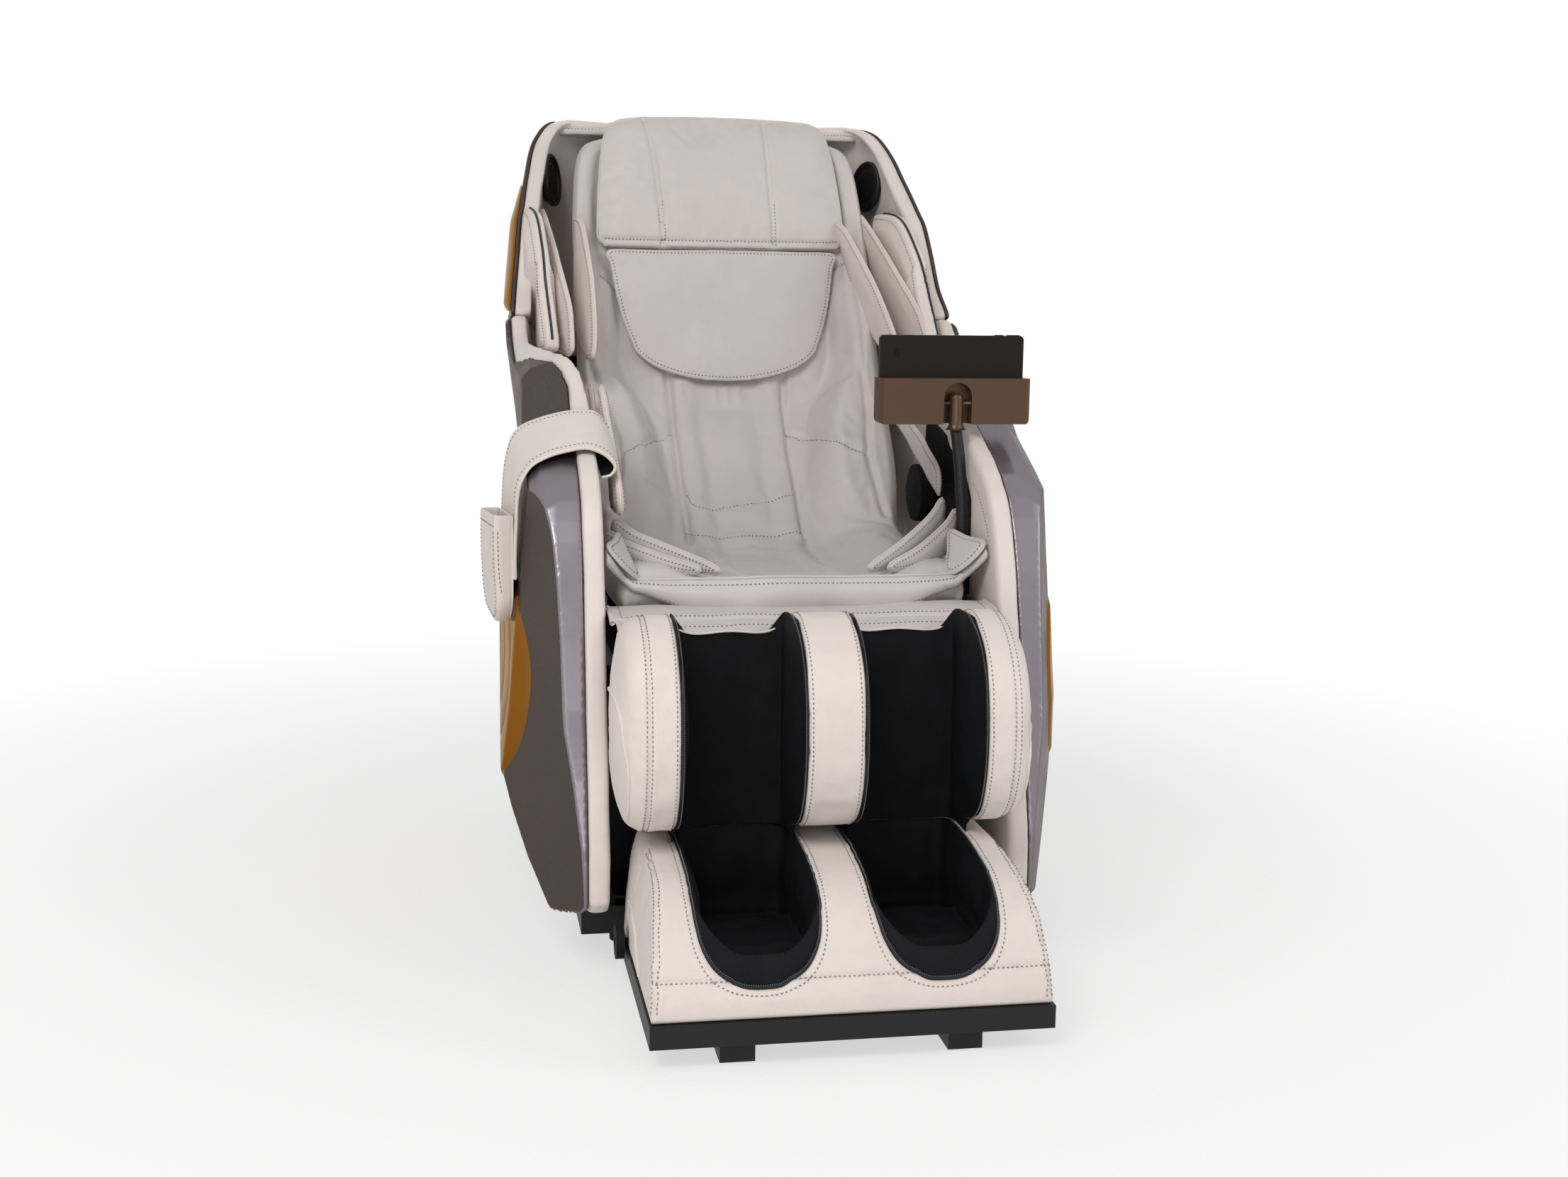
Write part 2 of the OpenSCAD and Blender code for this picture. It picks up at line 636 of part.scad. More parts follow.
// Round speakers on the liner, facing the sitter's ears
speaker_pos = [279, 402, 1066];
module speakers() {
    color(plastic_black) both_sides() translate(speaker_pos) rotate([-16, 0, 0]) rotate([0, -90, 20])
        difference() {
            union() {
                cylinder(r = 44, h = 7);
                translate([0, 0, -8]) cylinder(r = 36, h = 8);
            }
            translate([0, 0, 4]) cylinder(r = 37, h = 4);
            for (r = [10, 22])
                for (i = [0:r / 2])
                    rotate([0, 0, 720 * i / r]) translate([r, 0, -9]) cylinder(r = 2, h = 20, $fn = 16);
        }
}

// Hinge ears, side arms and cross members that carry the backrest
rail_start = [310, 660];
rail_tilt = -21.3;
rail_len = 430;
module on_rails() {
    translate([0, rail_start[0], rail_start[1]]) rotate([rail_tilt, 0, 0]) children();
}

lever_x = [-70, -61];
lift_x = [64, 73];
module back_frame() {
    side_arm = [[14, 388], [48, 392], [150, 470], [332, 640], [330, 668], [298, 668], [110, 494],
        [22, 424]];
    color(steel_black) {
        both_sides() difference() {
            union() {
                rod_x(200.4, 208, hip_y, hip_z, 20);
                side_plate(side_arm, 200.4, 208);
            }
            rod_x(200, 209, hip_y, hip_z, 10 + running);
        }
        rod_x(-201, 201, 78, 452, 11);
        on_rails() {
            block([-208, 208], [-12, 12], [-18, -2]);
            block([-208, 208], [-12, 12], [rail_len + 2, rail_len + 16]);
            block([-208, 208], [38, 46], [220, 250]);
            both_sides() block([200.4, 208], [-12, 46], [214, 256]);
        }
        // Lever with a slot for the recline actuator's pin
        difference() {
            union() {
                side_plate([[66, 452], [88, 446], [80, 240], [80, 201], [40, 197], [40, 240]],
                    lever_x[0], lever_x[1]);
            }
            hull_slot(lever_x, [hip_y, hip_z], recline_eye, 14, 19, 8.5);
        }
    }
}

// Slot through a lever, along the line from its hinge to the pin, from a before the pin to b past it
module hull_slot(x, hinge, pin, a, b, r) {
    d = (pin - hinge) / norm(pin - hinge);
    p = pin - d * (a - r);
    q = pin + d * (b - r);
    rod_x(x[0] - 1, x[1] + 1, p[0], p[1], r);
    rod_x(x[0] - 1, x[1] + 1, q[0], q[1], r);
    n = [-d[1], d[0]] * r;
    side_plate([p + n, p - n, q - n, q + n], x[0] - 1, x[1] + 1);
}

module massage_rails() {
    color(steel_bright) both_sides() on_rails() difference() {
        block([180, 200], [-11, 11], [0, rail_len]);
        block([176, 194], [-5.5, 5.5], [-1, rail_len + 1]);
    }
}

screw_r = 6;
screw_y = 24;
module screw_motor() {
    color(steel_black) on_rails() {
        translate([0, screw_y + 9, -62]) cylinder(r = 20, h = 43);
        block([-26, 26], [12.2, 46], [-6, 4]);
    }
}

module lead_screw() {
    color(steel_bright) on_rails() translate([0, screw_y, 5]) {
        cylinder(r = screw_r, h = rail_len - 30);
        translate([0, 0, 0]) cylinder(r = 9, h = 6);
    }
}

// Carriage that climbs the two rails: plate, guide blocks, screw nut, motor and the four roller arms
carriage_low = 44;
carriage_tall = 110;
roller_x = 60;
module carriage() {
    color(steel_black) on_rails() translate([0, 0, carriage_low]) {
        difference() {
            union() {
                block([-170, 170], [2, 8], [0, carriage_tall]);
                block([-22, 22], [8, 36], [30, 80]);
            }
            translate([0, screw_y, -5]) cylinder(r = screw_r + running, h = 200);
        }
        both_sides() {
            for (z = [14, carriage_tall - 14])
                rod_x(170, 193, 0, z, 5);
            block([100, 150], [8, 34], [26, 84]);
            // Arms with the shaft of a pair of rollers
            block([roller_x + 24, roller_x + 30], [-42, 2], [46, 64]);
            rod_x(roller_x + 24, roller_x + 30, -42, 55, 9);
            rod_x(roller_x - 24, roller_x + 24, -42, 55, 5);
        }
    }
}

module massage_rollers() {
    color(leather_light) on_rails() translate([0, 0, carriage_low]) both_sides() difference() {
        union() {
            rod_x(roller_x - 22, roller_x - 2, -42, 55, 22);
            rod_x(roller_x + 2, roller_x + 22, -42, 55, 22);
            rod_x(roller_x - 2, roller_x + 2, -42, 55, 12);
        }
        rod_x(roller_x - 30, roller_x + 30, -42, 55, 5 + running);
    }
}

// Back pad stations along its face: [y, z, rise at the sides, half width, where the rise starts]
back_stations = [[-38, 496, 18, 210, 0.45], [-28, 503, 26, 218, 0.45], [0, 524, 40, 226, 0.45],
    [36, 551, 54, 231, 0.45], [76, 585, 64, 234, 0.45], [114, 618, 70, 235, 0.46],
    [152, 653, 74, 236, 0.5],
    [186, 686, 75, 236, 0.56], [210, 718, 74, 236, 0.64], [225, 756, 70, 236, 0.7],
    [238, 800, 64, 237, 0.72], [262, 870, 54, 240, 0.72], [294, 950, 34, 250, 0.78],
    [326, 1030, 24, 256, 0.8], [356, 1096, 18, 256, 0.8],
    [370, 1126, 12, 252, 0.8], [374, 1136, 4, 246, 0.8]];
function back_face(u, s) = let (a = abs(u))
    9 * bump(a, 0.38, 0.11) - 3 * bump(a, 0.49, 0.05) - 5 * bump(a, 0.86, 0.05)
    + s[2] * smooth((a - s[4]) / 0.26) - (a > 0.95 ? 12 * (a - 0.95) / 0.05 : 0);

module back_pad() {
    rings = [for (i = [0:len(back_stations) - 1])
        let (s = back_stations[i], t = along(back_stations, i), n = [-t[1], t[0]])
        concat(
            [for (u = pad_across) let (h = back_face(u, s)) [u * s[3], s[0] + n[0] * h, s[1] + n[1] * h]],
            [for (k = [len(pad_across) - 1:-1:0])
                let (u = pad_across[k], h = s[2] * smooth((abs(u) - s[4]) / 0.26) - back_pad_t)
                [u * (s[3] - 6), s[0] + n[0] * h, s[1] + n[1] * h]])];
    color(leather_grey) loft(rings);
}

// Pillow stations from hem to top: [front y, z, half width, thickness]
pillow_stations = [[271, 953, 200, 8], [266, 957, 205, 16], [266, 972, 206, 20], [275, 1010, 205, 26],
    [293, 1060, 201, 32], [312, 1105, 196, 36], [330, 1140, 189, 36], [345, 1159, 180, 32],
    [358, 1168, 166, 20]];
module head_pillow() {
    across = [-1, -0.985, -0.94, -0.85, -0.7, -0.5, -0.25, 0, 0.25, 0.5, 0.7, 0.85, 0.94, 0.985, 1];
    rings = [for (s = pillow_stations) concat(
        [for (u = across) [u * s[2], s[0] + s[3] * 0.5 * pow(abs(u), 8), s[1]]],
        [for (k = [len(across) - 1:-1:0]) let (u = across[k])
            [u * (s[2] - 1), s[0] + s[3] * (1 - 0.4 * pow(abs(u), 8)), s[1]]])];
    color(leather_light) loft(rings);
}

// U-shaped flap that hangs from the pillow's lower hem, as [x, distance below the hem]
flap_top = [272, 949];
flap_tilt = 18.8;
flap_form = concat([[-190, 0], [190, 0], [187, -30], [180, -75], [171, -120], [158, -157]],
    [for (a = [20:10:160]) [154 * cos(a) * 1.04, -150 - 76 * sin(a)]],
    [[-158, -157], [-171, -120], [-180, -75], [-187, -30]]);
module neck_flap() {
    color(leather_grey) translate([0, flap_top[0], flap_top[1]]) rotate([-flap_tilt, 0, 0])
        front_plate(flap_form, -5, 0);
}

// Leaf-shaped air pads at the shoulder, as [y, z] outlines: inner, middle and outer leaf
inner_leaf = [[290, 1000], [262, 995], [214, 962], [138, 893], [82, 822], [64, 784], [72, 774], [92, 776],
    [148, 818], [178, 868], [222, 944], [252, 985]];
middle_leaf = [[318, 1012], [290, 1004], [186, 937], [83, 860], [44, 800], [50, 784], [78, 782], [180, 800],
    [280, 880], [320, 960], [332, 1000]];
outer_leaf = [[330, 1006], [300, 1016], [215, 1003], [154, 950], [115, 895], [76, 848], [44, 806], [58, 786],
    [180, 796], [290, 880], [330, 960]];
module shoulder_leaves() {
    translate([207, 0, 1004]) rotate([0, -9, 0]) translate([0, 0, -1004]) side_plate(inner_leaf, 0, 13);
    translate([259, 0, 1012]) rotate([0, -6, 0]) translate([0, 0, -1012]) side_plate(middle_leaf, 0, 13);
    translate([281, 0, 1006]) rotate([0, -5, 0]) translate([0, 0, -1006]) side_plate(outer_leaf, 0, 20);
}
module right_shoulder_leaves() { color(leather_light) mirror([1, 0, 0]) shoulder_leaves(); }
module left_shoulder_leaves() { color(leather_light) shoulder_leaves(); }

// ---- Leg rest ----
calf_profile = [[-515, 250], [-528, 234], [-560, 225], [-600, 224], [-633, 233], [-658, 252], [-674, 280],
    [-683, 318], [-683, 368], [-674, 416], [-655, 450], [-628, 473], [-592, 487], [-560, 487], [-532, 474],
    [-515, 450]];
calf_mid = [-598, 356];
// Calf bolster from x0 to x1 with rounded edges, its outline drawn in by part of its size at each station
module bolster(x0, x1, edge0, edge1) {
    n = len(calf_profile);
    stations = [[x0, edge0], [x0 + 5, edge0 * 0.3], [x0 + 12, 0],
        [x1 - 14, 0], [x1 - 5, edge1 * 0.35], [x1, edge1]];
    rings = [for (s = stations) [for (i = [0:n - 1]) let (p = calf_profile[(i + 8) % n])
        [s[0], mix(p[0], calf_mid[0], s[1]), mix(p[1], calf_mid[1], s[1])]]];
    loft(rings);
}
module right_calf_bolster() {
    color(leather_light) mirror([1, 0, 0]) bolster(channel_out, calf_half_w, 0.03, 0.2);
}
module left_calf_bolster() {
    color(leather_light) bolster(channel_out, calf_half_w, 0.03, 0.2);
}
module centre_calf_bolster() {
    color(leather_light) bolster(-channel_in, channel_in, 0.03, 0.03);
}

channel_back = -534;
module calf_lining() {
    wall = [for (p = calf_profile) [mix(p[0], calf_mid[0], 0.045), mix(p[1], calf_mid[1], 0.045)]];
    color(mesh_black) both_sides() {
        block([channel_in + 0.4, channel_out - 0.4], [channel_back, -514], [212, 468]);
        intersection() {
            side_plate(wall, channel_in + 0.4, channel_out - 0.4);
            union() {
                block([channel_in + 0.4, channel_in + 6], [-700, channel_back], [200, 500]);
                block([channel_out - 6, channel_out - 0.4], [-700, channel_back], [200, 500]);
            }
        }
    }
}

slide_x = 110;
slide_y = -487;
module leg_frame() {
    color(steel_black) {
        difference() {
            union() {
                block([-235, 235], [-513, -501], [236, 446]);
                block([-135, 135], [-501, -488], [426, 448]);
            }
            // Openings that save weight
            both_sides() block([150, 222], [-520, -490], [270, 396]);
        }
        both_sides() {
            // Hinge ears that turn on the seat frame's pins
            difference() {
                union() {
                    rod_x(125, 135, knee_y, knee_z, 17);
                    block([125, 135], [-501, knee_y], [424, 448]);
                }
                rod_x(120, 140, knee_y, knee_z, slide_rod_r + running);
            }
            // Slide tubes for the foot unit
            difference() {
                block([slide_x - 12, slide_x + 12], [-501, -475], [216, 410]);
                translate([slide_x, slide_y, 200]) cylinder(r = slide_rod_r + running, h = 230);
            }
        }
        // Lever with a slot for the lift actuator's pin
        difference() {
            union() {
                side_plate([[-501, 446], [-480, 446], [-470, 424], [-446, 372], [-437, 338], [-482, 328],
                    [-490, 372], [-501, 392]], lift_x[0], lift_x[1]);
                rod_x(lift_x[0], lift_x[1], lift_eye[0], lift_eye[1] + 3, 24);
                rod_x(lift_x[0], lift_x[1], lift_eye[0] + 2, lift_eye[1] - 15, 24);
            }
            hull_slot(lift_x, [knee_y, knee_z], lift_eye, 20, 32, 17);
        }
    }
}

// Soft cover over the gap between the seat and the calf unit
module knee_cover() {
    color(leather_grey) difference() {
        block([-236, 236], [-512, -482], [460, 466]);
        // Room for the hinge ears
        both_sides() block([120, 154], [-498, -470], [455, 470]);
    }
}

// ---- Foot unit ----
foot_profile = [[-500, 57], [-808, 57], [-806, 80], [-797, 102], [-785, 126], [-769, 149], [-741, 173],
    [-715, 186], [-691, 193], [-632, 202], [-560, 204], [-505, 198], [-500, 186]];
module foot_form() {
    intersection() {
        side_plate(foot_profile, -foot_half_w, foot_half_w);
        front_plate([[-foot_half_w, 50], [foot_half_w, 50], [foot_half_w - 2, 100], [foot_half_w - 9, 165],
            [foot_half_w - 17, 196], [foot_half_w - 30, 210], [30 - foot_half_w, 210],
            [17 - foot_half_w, 196],
            [9 - foot_half_w, 165], [2 - foot_half_w, 100]], -820, -490);
    }
}

// Space of one foot well; inset draws its walls in
well_front = -787;
well_rear = -528;
toe_floor = 76;
arch_floor = 100;
arch_y = [-700, -600];
module well_form(inset) {
    x0 = well_in + inset;
    x1 = well_out - inset;
    y0 = well_front + inset;
    r = 56 - inset;
    translate([0, 0, toe_floor + inset]) linear_extrude(200) difference() {
        polygon(concat(arc([x0 + r, y0 + r], r, 180, 270, 8), arc([x1 - r, y0 + r], r, 270, 360, 8),
            [[x1, well_rear - inset], [x0, well_rear - inset]]));
    }
}
module well_space(inset) {
    difference() {
        well_form(inset);
        block([0, 300], [arch_y[0] - inset, arch_y[1] + inset], [50, arch_floor + inset]);
    }
}

sole_axis = [-650, 78];
sole_r = 15;
module foot_shell() {
    color(leather_light) difference() {
        foot_form();
        both_sides() well_space(0);
        // Roller space below the arch, shaft bores, and the groove for the guide wheels' shaft
        block([-188, 188], [sole_axis[0] - 19, sole_axis[0] + 19], [50, 96]);
        rod_x(-206, 206, sole_axis[0], sole_axis[1], 5 + running);
        block([-250, 250], [-556, -544], [50, 70]);
    }
}

module foot_linings() {
    color(mesh_black) both_sides() intersection() {
        difference() {
            well_space(0.4);
            well_space(4.5);
            block([0, 300], [well_rear - 5, 0], [toe_floor + 8, 300]);
        }
        foot_form();
    }
}

module foot_tray() {
    color(plastic_black) {
        difference() {
            block([-foot_half_w - 2, foot_half_w + 2], [-812, -472], [28, 56]);
            // Groove for the guide wheels' shaft
            block([-250, 250], [-556, -544], [50, 60]);
        }
        for (x = [-137, 137])
            block([x - 21, x + 21], [-795, -752], [1, 28]);
    }
}

module foot_slides() {
    color(steel_bright) both_sides() {
        translate([slide_x, slide_y, 56.2]) cylinder(r = slide_rod_r, h = 340);
        translate([slide_x, slide_y, 56.2]) cylinder(r = 12, h = 6);
    }
}

// Rollers under the arch of each foot, with raised beads
module sole_rollers() {
    color(plastic_black) {
        rod_x(-204, 204, sole_axis[0], sole_axis[1], 5);
        both_sides() for (x = [48:30:150]) {
            rod_x(x, x + 22, sole_axis[0], sole_axis[1], sole_r);
            rod_x(x - 4, x, sole_axis[0], sole_axis[1], sole_r - 5);
        }
    }
}

foot_wheel_axis = [-550, 62];
module foot_wheels() {
    y = foot_wheel_axis[0];
    z = foot_wheel_axis[1];
    color(plastic_black) both_sides() rod_x(foot_half_w + 5, foot_half_w + 16, y, z, 22);
    color(steel_bright) rod_x(-foot_half_w - 17, foot_half_w + 17, y, z, 4);
}

// ---- Actuators ----
// Tube with its end eye, gear motor, and the bore in which the rod slides; s0 and s1 are distances along it
module actuator_body(x, base, eye, s1) {
    d = (eye - base) / norm(eye - base);
    turn = atan2(d[1], d[0]);
    color(steel_black) translate([x, base[0], base[1]]) rotate([turn, 0, 0]) difference() {
        union() {
            rotate([-90, 0, 0]) translate([0, 0, 14]) cylinder(r = 15, h = s1 - 14);
            translate([-5, 0, 0]) rotate([0, 90, 0]) cylinder(r = 11, h = 10);
            block([-5, 5], [0, 20], [-8, 8]);
            // Gear motor beside the tube
            rotate([-90, 0, 0]) translate([0, 28, 24]) cylinder(r = 16, h = 86);
            block([-10, 10], [20, 44], [-40, -8]);
        }
        translate([-20, 0, 0]) rotate([0, 90, 0]) cylinder(r = pivot_pin_r + running, h = 40);
        rotate([-90, 0, 0]) translate([0, 0, 24]) cylinder(r = 8 + running, h = s1);
    }
}

// Sliding rod from s0, ending in a fork whose pin rides in the lever's slot
module actuator_rod(x, base, eye, s0, gap) {
    l = norm(eye - base);
    d = (eye - base) / l;
    turn = atan2(d[1], d[0]);
    color(steel_bright) translate([x, base[0], base[1]]) rotate([turn, 0, 0]) {
        rotate([-90, 0, 0]) translate([0, 0, s0]) cylinder(r = 8, h = l - 56 - s0);
        block([-gap - 6, gap + 6], [l - 58, l - 50], [-9, 9]);
        for (s = [-1, 1]) {
            block([min(s * gap, s * (gap + 6)), max(s * gap, s * (gap + 6))], [l - 50, l], [-9, 9]);
            rod_x(min(s * gap, s * (gap + 6)), max(s * gap, s * (gap + 6)), l, 0, 9);
        }
        rod_x(-gap - 6, gap + 6, l, 0, 5);
    }
}

recline_x = (lever_x[0] + lever_x[1]) / 2;
lift_mid_x = (lift_x[0] + lift_x[1]) / 2;
fork_gap = 6;
module recline_actuator() { actuator_body(recline_x, recline_pivot, recline_eye, 182); }
module recline_rod() { actuator_rod(recline_x, recline_pivot, recline_eye, 134, fork_gap); }
module leg_actuator() { actuator_body(lift_mid_x, lift_pivot, lift_eye, 316); }
module leg_rod() { actuator_rod(lift_mid_x, lift_pivot, lift_eye, 60, fork_gap); }

// ---- Tablet arm ----
neck_foot = [249, -342, 500];
stalk = [243, -315.5, 698];     // foot of the stalk that the gooseneck ends in
stalk_h = 44;
stalk_r = 9.5;
tilt_pin_z = 735;
tilt_pin_r = 3;
tablet_origin = [240, -300, 710];
cradle_y = [-24, 13];
cradle_h = 60;
hollow_r = 20;
module gooseneck_socket() {
    color(plastic_black) difference() {
        union() {
            translate([neck_foot[0], neck_foot[1], 470]) cylinder(r = 12, h = 34);
            block([242, 256], [-352, -332], [396, 470]);
            block([228, 256], [-352, -332], [390, 396]);
        }
        translate([neck_foot[0], neck_foot[1], 486]) cylinder(r = 7 + running, h = 30);
    }
}

// Points along the gooseneck
neck_route = [[249, -342, 504.2], [249, -342, 530], [249, -341, 560], [249, -338, 590], [248, -333, 620],
    [247, -327, 650], [245, -321, 678], [243, -316, 699]];
module gooseneck() {
    sides = 12;
    rings = [for (p = neck_route) [for (k = [0:sides - 1]) let (a = 360 * k / sides)
        p + [neck_d / 2 * cos(a), neck_d / 2 * sin(a), 0]]];
    color(plastic_black) {
        loft(rings);
        translate([neck_foot[0], neck_foot[1], 488]) cylinder(r = 7, h = 18);
        translate([neck_foot[0], neck_foot[1], 504.2]) cylinder(r = 10, h = 8);
    }
    // Stalk with a domed end, and the pin that the cradle tilts on
    color(cradle_bronze) {
        translate(stalk) cylinder(r = stalk_r, h = stalk_h);
        translate(stalk + [0, 0, stalk_h]) rotate_extrude()
            polygon([[0, 0], [stalk_r, 0], [8.4, 3], [6, 5.6], [3, 7], [0, 7.5]]);
        rod_x(stalk[0] - hollow_r - 8, stalk[0] + hollow_r + 8, stalk[1], tilt_pin_z, tilt_pin_r);
    }
}

// Upright rectangle with corners of radius r, as [x, z] points
function rounded(x, z, r) = concat(
    arc([x[1] - r, z[0] + r], r, 270, 360, 5), arc([x[1] - r, z[1] - r], r, 0, 90, 5),
    arc([x[0] + r, z[1] - r], r, 90, 180, 5), arc([x[0] + r, z[0] + r], r, 180, 270, 5));

module tablet_cradle() {
    w = tablet_w / 2;
    hollow_x = stalk[0] - tablet_origin[0];
    hollow_z = cradle_h - 6 - hollow_r;
    color(cradle_bronze) difference() {
        translate(tablet_origin) difference() {
            front_plate(rounded([-w - 4.5, w + 4.5], [-4, cradle_h + 10], 7), cradle_y[0], cradle_y[1]);
            block([-w - 10, w + 10], [-30, 30], [cradle_h, cradle_h + 20]);
            // Slot for the tablet, and its open front
            block([-w - 0.5, w + 0.5], [1.8, 2.2 + tablet_t], [0, cradle_h + 1]);
            block([-w + 14, w - 14], [5, 30], [12, cradle_h + 1]);
            // Hollow that the stalk stands in
            front_plate(concat([[hollow_x + hollow_r, -5]], arc([hollow_x, hollow_z], hollow_r, 0, 180, 12),
                [[hollow_x - hollow_r, -5]]), cradle_y[0] - 1, -1);
            // Rounded outer edges
            for (s = [-1, 1])
                translate([s * (w + 4.5), cradle_y[0], 0]) rotate([0, 0, 45])
                    block([-4, 4], [-4, 4], [-10, 100]);
        }
        pin_reach = hollow_r + 10;
        rod_x(stalk[0] - pin_reach, stalk[0] + pin_reach, stalk[1], tilt_pin_z, tilt_pin_r + running);
    }
}

// Pockets of the two keys in the tablet's top edge, as [x, y] ranges
power_x = [62, 75];
volume_x = [80, 99];
key_y = [tablet_t / 2 + 2 - 1.7, tablet_t / 2 + 2 + 1.7];
module tablet() {
    w = tablet_w / 2;
    color([0.12, 0.10, 0.09]) translate(tablet_origin) difference() {
        front_plate(rounded([-w, w], [0.5, tablet_h], 6), 2, 2 + tablet_t);
        for (x = [power_x, volume_x])
            block(x, key_y, [tablet_h - 4, tablet_h + 1]);
        // Screen recess and speaker slots
        block([-w + 6, w - 6], [1.4 + tablet_t, 3 + tablet_t], [8, tablet_h - 6]);
        for (i = [0:4])
            block([-w + 20, -w + 28], [1, 3], [tablet_h - 30 + 2.6 * i, tablet_h - 28.8 + 2.6 * i]);
    }
}

module key(x) {
    color([0.2, 0.2, 0.2]) translate(tablet_origin)
        block([x[0] + 0.2, x[1] - 0.2], [key_y[0] + 0.2, key_y[1] - 0.2], [tablet_h - 2, tablet_h + 1]);
}
module power_button() { key(power_x); }
module volume_rocker() { key(volume_x); }

base_frame();
floor_feet();
base_covers();
seat_frame();
seat_cushion();
seat_apron();
hip_flaps();
right_side_shell();
left_side_shell();
right_side_insert();
left_side_insert();
right_arm_lining();
left_arm_lining();
forearm_mesh();
arm_flaps();
remote_strap();
remote_pocket();
power_box();
mains_inlet();
air_pump();
control_box();
gooseneck_socket();
rocker_switch();
transport_wheels();
back_frame();
massage_rails();
hood_shell();
hood_liner();
hood_inserts();
speakers();
back_pad();
head_pillow();
neck_flap();
right_shoulder_leaves();
left_shoulder_leaves();
carriage();
massage_rollers();
lead_screw();
screw_motor();
leg_frame();
right_calf_bolster();
centre_calf_bolster();
left_calf_bolster();
calf_lining();
knee_cover();
foot_shell();
foot_linings();
foot_tray();
foot_slides();
sole_rollers();
foot_wheels();
recline_actuator();
recline_rod();
leg_actuator();
leg_rod();
gooseneck();
tablet_cradle();
tablet();
power_button();
volume_rocker();
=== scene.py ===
"""Looks of the massage chair: leather, fabric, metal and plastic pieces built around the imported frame."""

import json
import math

import bmesh
import bpy
import numpy as np
from mathutils import Matrix, Vector, noise
from mathutils.bvhtree import BVHTree

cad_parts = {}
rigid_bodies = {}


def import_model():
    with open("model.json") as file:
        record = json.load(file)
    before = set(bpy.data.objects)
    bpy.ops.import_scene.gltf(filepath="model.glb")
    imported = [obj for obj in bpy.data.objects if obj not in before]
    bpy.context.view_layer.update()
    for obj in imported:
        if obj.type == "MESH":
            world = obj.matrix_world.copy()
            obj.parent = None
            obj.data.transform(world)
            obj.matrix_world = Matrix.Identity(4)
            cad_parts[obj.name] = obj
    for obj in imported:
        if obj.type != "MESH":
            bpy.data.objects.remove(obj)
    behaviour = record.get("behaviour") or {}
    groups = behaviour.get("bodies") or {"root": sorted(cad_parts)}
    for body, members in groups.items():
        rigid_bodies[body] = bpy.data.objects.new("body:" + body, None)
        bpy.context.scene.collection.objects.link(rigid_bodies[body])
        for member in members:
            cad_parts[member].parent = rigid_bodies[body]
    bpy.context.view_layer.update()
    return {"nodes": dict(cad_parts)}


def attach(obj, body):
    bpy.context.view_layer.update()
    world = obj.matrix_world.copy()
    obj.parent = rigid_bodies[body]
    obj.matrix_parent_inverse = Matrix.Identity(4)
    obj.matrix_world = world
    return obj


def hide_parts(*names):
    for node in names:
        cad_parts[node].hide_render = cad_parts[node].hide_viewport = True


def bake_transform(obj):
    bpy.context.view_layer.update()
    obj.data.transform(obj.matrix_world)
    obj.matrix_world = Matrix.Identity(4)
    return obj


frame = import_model()
nodes = frame["nodes"]
scene = bpy.context.scene
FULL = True

# ---- Small helpers. Shapes are written in millimetres and turned into metres when the mesh is made ----


def spline(points, count, closed=False):
    """count rows on a smooth curve through the given rows, evenly spread over the rows' index."""
    p = np.asarray(points, float)
    n = len(p)
    if closed:
        p = np.vstack([p[-1], p, p[0], p[1]])
        t = np.arange(count) * n / count
    else:
        p = np.vstack([2 * p[0] - p[1], p, 2 * p[-1] - p[-2]])
        t = np.linspace(0, n - 1, count)
        n -= 1
    i = np.minimum(t.astype(int), n - 1)
    f = (t - i)[:, None]
    a, b, c, d = p[i], p[i + 1], p[i + 2], p[i + 3]
    return 0.5 * (2 * b + (c - a) * f + (2 * a - 5 * b + 4 * c - d) * f**2
                  + (3 * b - a - 3 * c + d) * f**3)


def even(points, count, closed=False):
    """count points evenly spaced along a smooth line through the given ones."""
    dense = spline(points, 24 * len(points), closed)
    if closed:
        dense = np.vstack([dense, dense[0]])
    run = np.concatenate([[0], np.cumsum(np.linalg.norm(np.diff(dense, axis=0), axis=1))])
    s = np.linspace(0, run[-1], count + 1)[:-1] if closed else np.linspace(0, run[-1], count)
    return np.stack([np.interp(s, run, dense[:, k]) for k in range(dense.shape[1])], axis=1)


def length_of(points):
    return float(np.linalg.norm(np.diff(np.asarray(points, float), axis=0), axis=1).sum())


def smooth(t):
    t = np.clip(t, 0, 1)
    return t * t * (3 - 2 * t)


def bump(x, centre, half):
    return np.where(abs(x - centre) < half, 0.5 + 0.5 * np.cos(np.pi * (x - centre) / half), 0)


def new_piece(name, vertices, faces, material, body=None):
    """A mesh piece from points in millimetres."""
    mesh = bpy.data.meshes.new(name)
    mesh.from_pydata((np.asarray(vertices, float) * 0.001).tolist(), [], faces)
    mesh.validate()
    for m in material if isinstance(material, (list, tuple)) else [material]:
        mesh.materials.append(m)
    piece = bpy.data.objects.new(name, mesh)
    scene.collection.objects.link(piece)
    mesh.polygons.foreach_set("use_smooth", [True] * len(mesh.polygons))
    if body:
        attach(piece, body)
    return piece


def grid_faces(rows, columns, closed_columns=False, closed_rows=False, start=0):
    faces = []
    for i in range(rows if closed_rows else rows - 1):
        for j in range(columns if closed_columns else columns - 1):
            a, b = i * columns + j, i * columns + (j + 1) % columns
            c, d = ((i + 1) % rows) * columns + (j + 1) % columns, ((i + 1) % rows) * columns + j
            faces.append((start + a, start + b, start + c, start + d))
    return faces


def end_caps(rings, sides):
    """Faces that close the first and the last of some rings of points."""
    return [tuple(range(sides)), tuple(range((rings - 1) * sides, rings * sides))[::-1]]


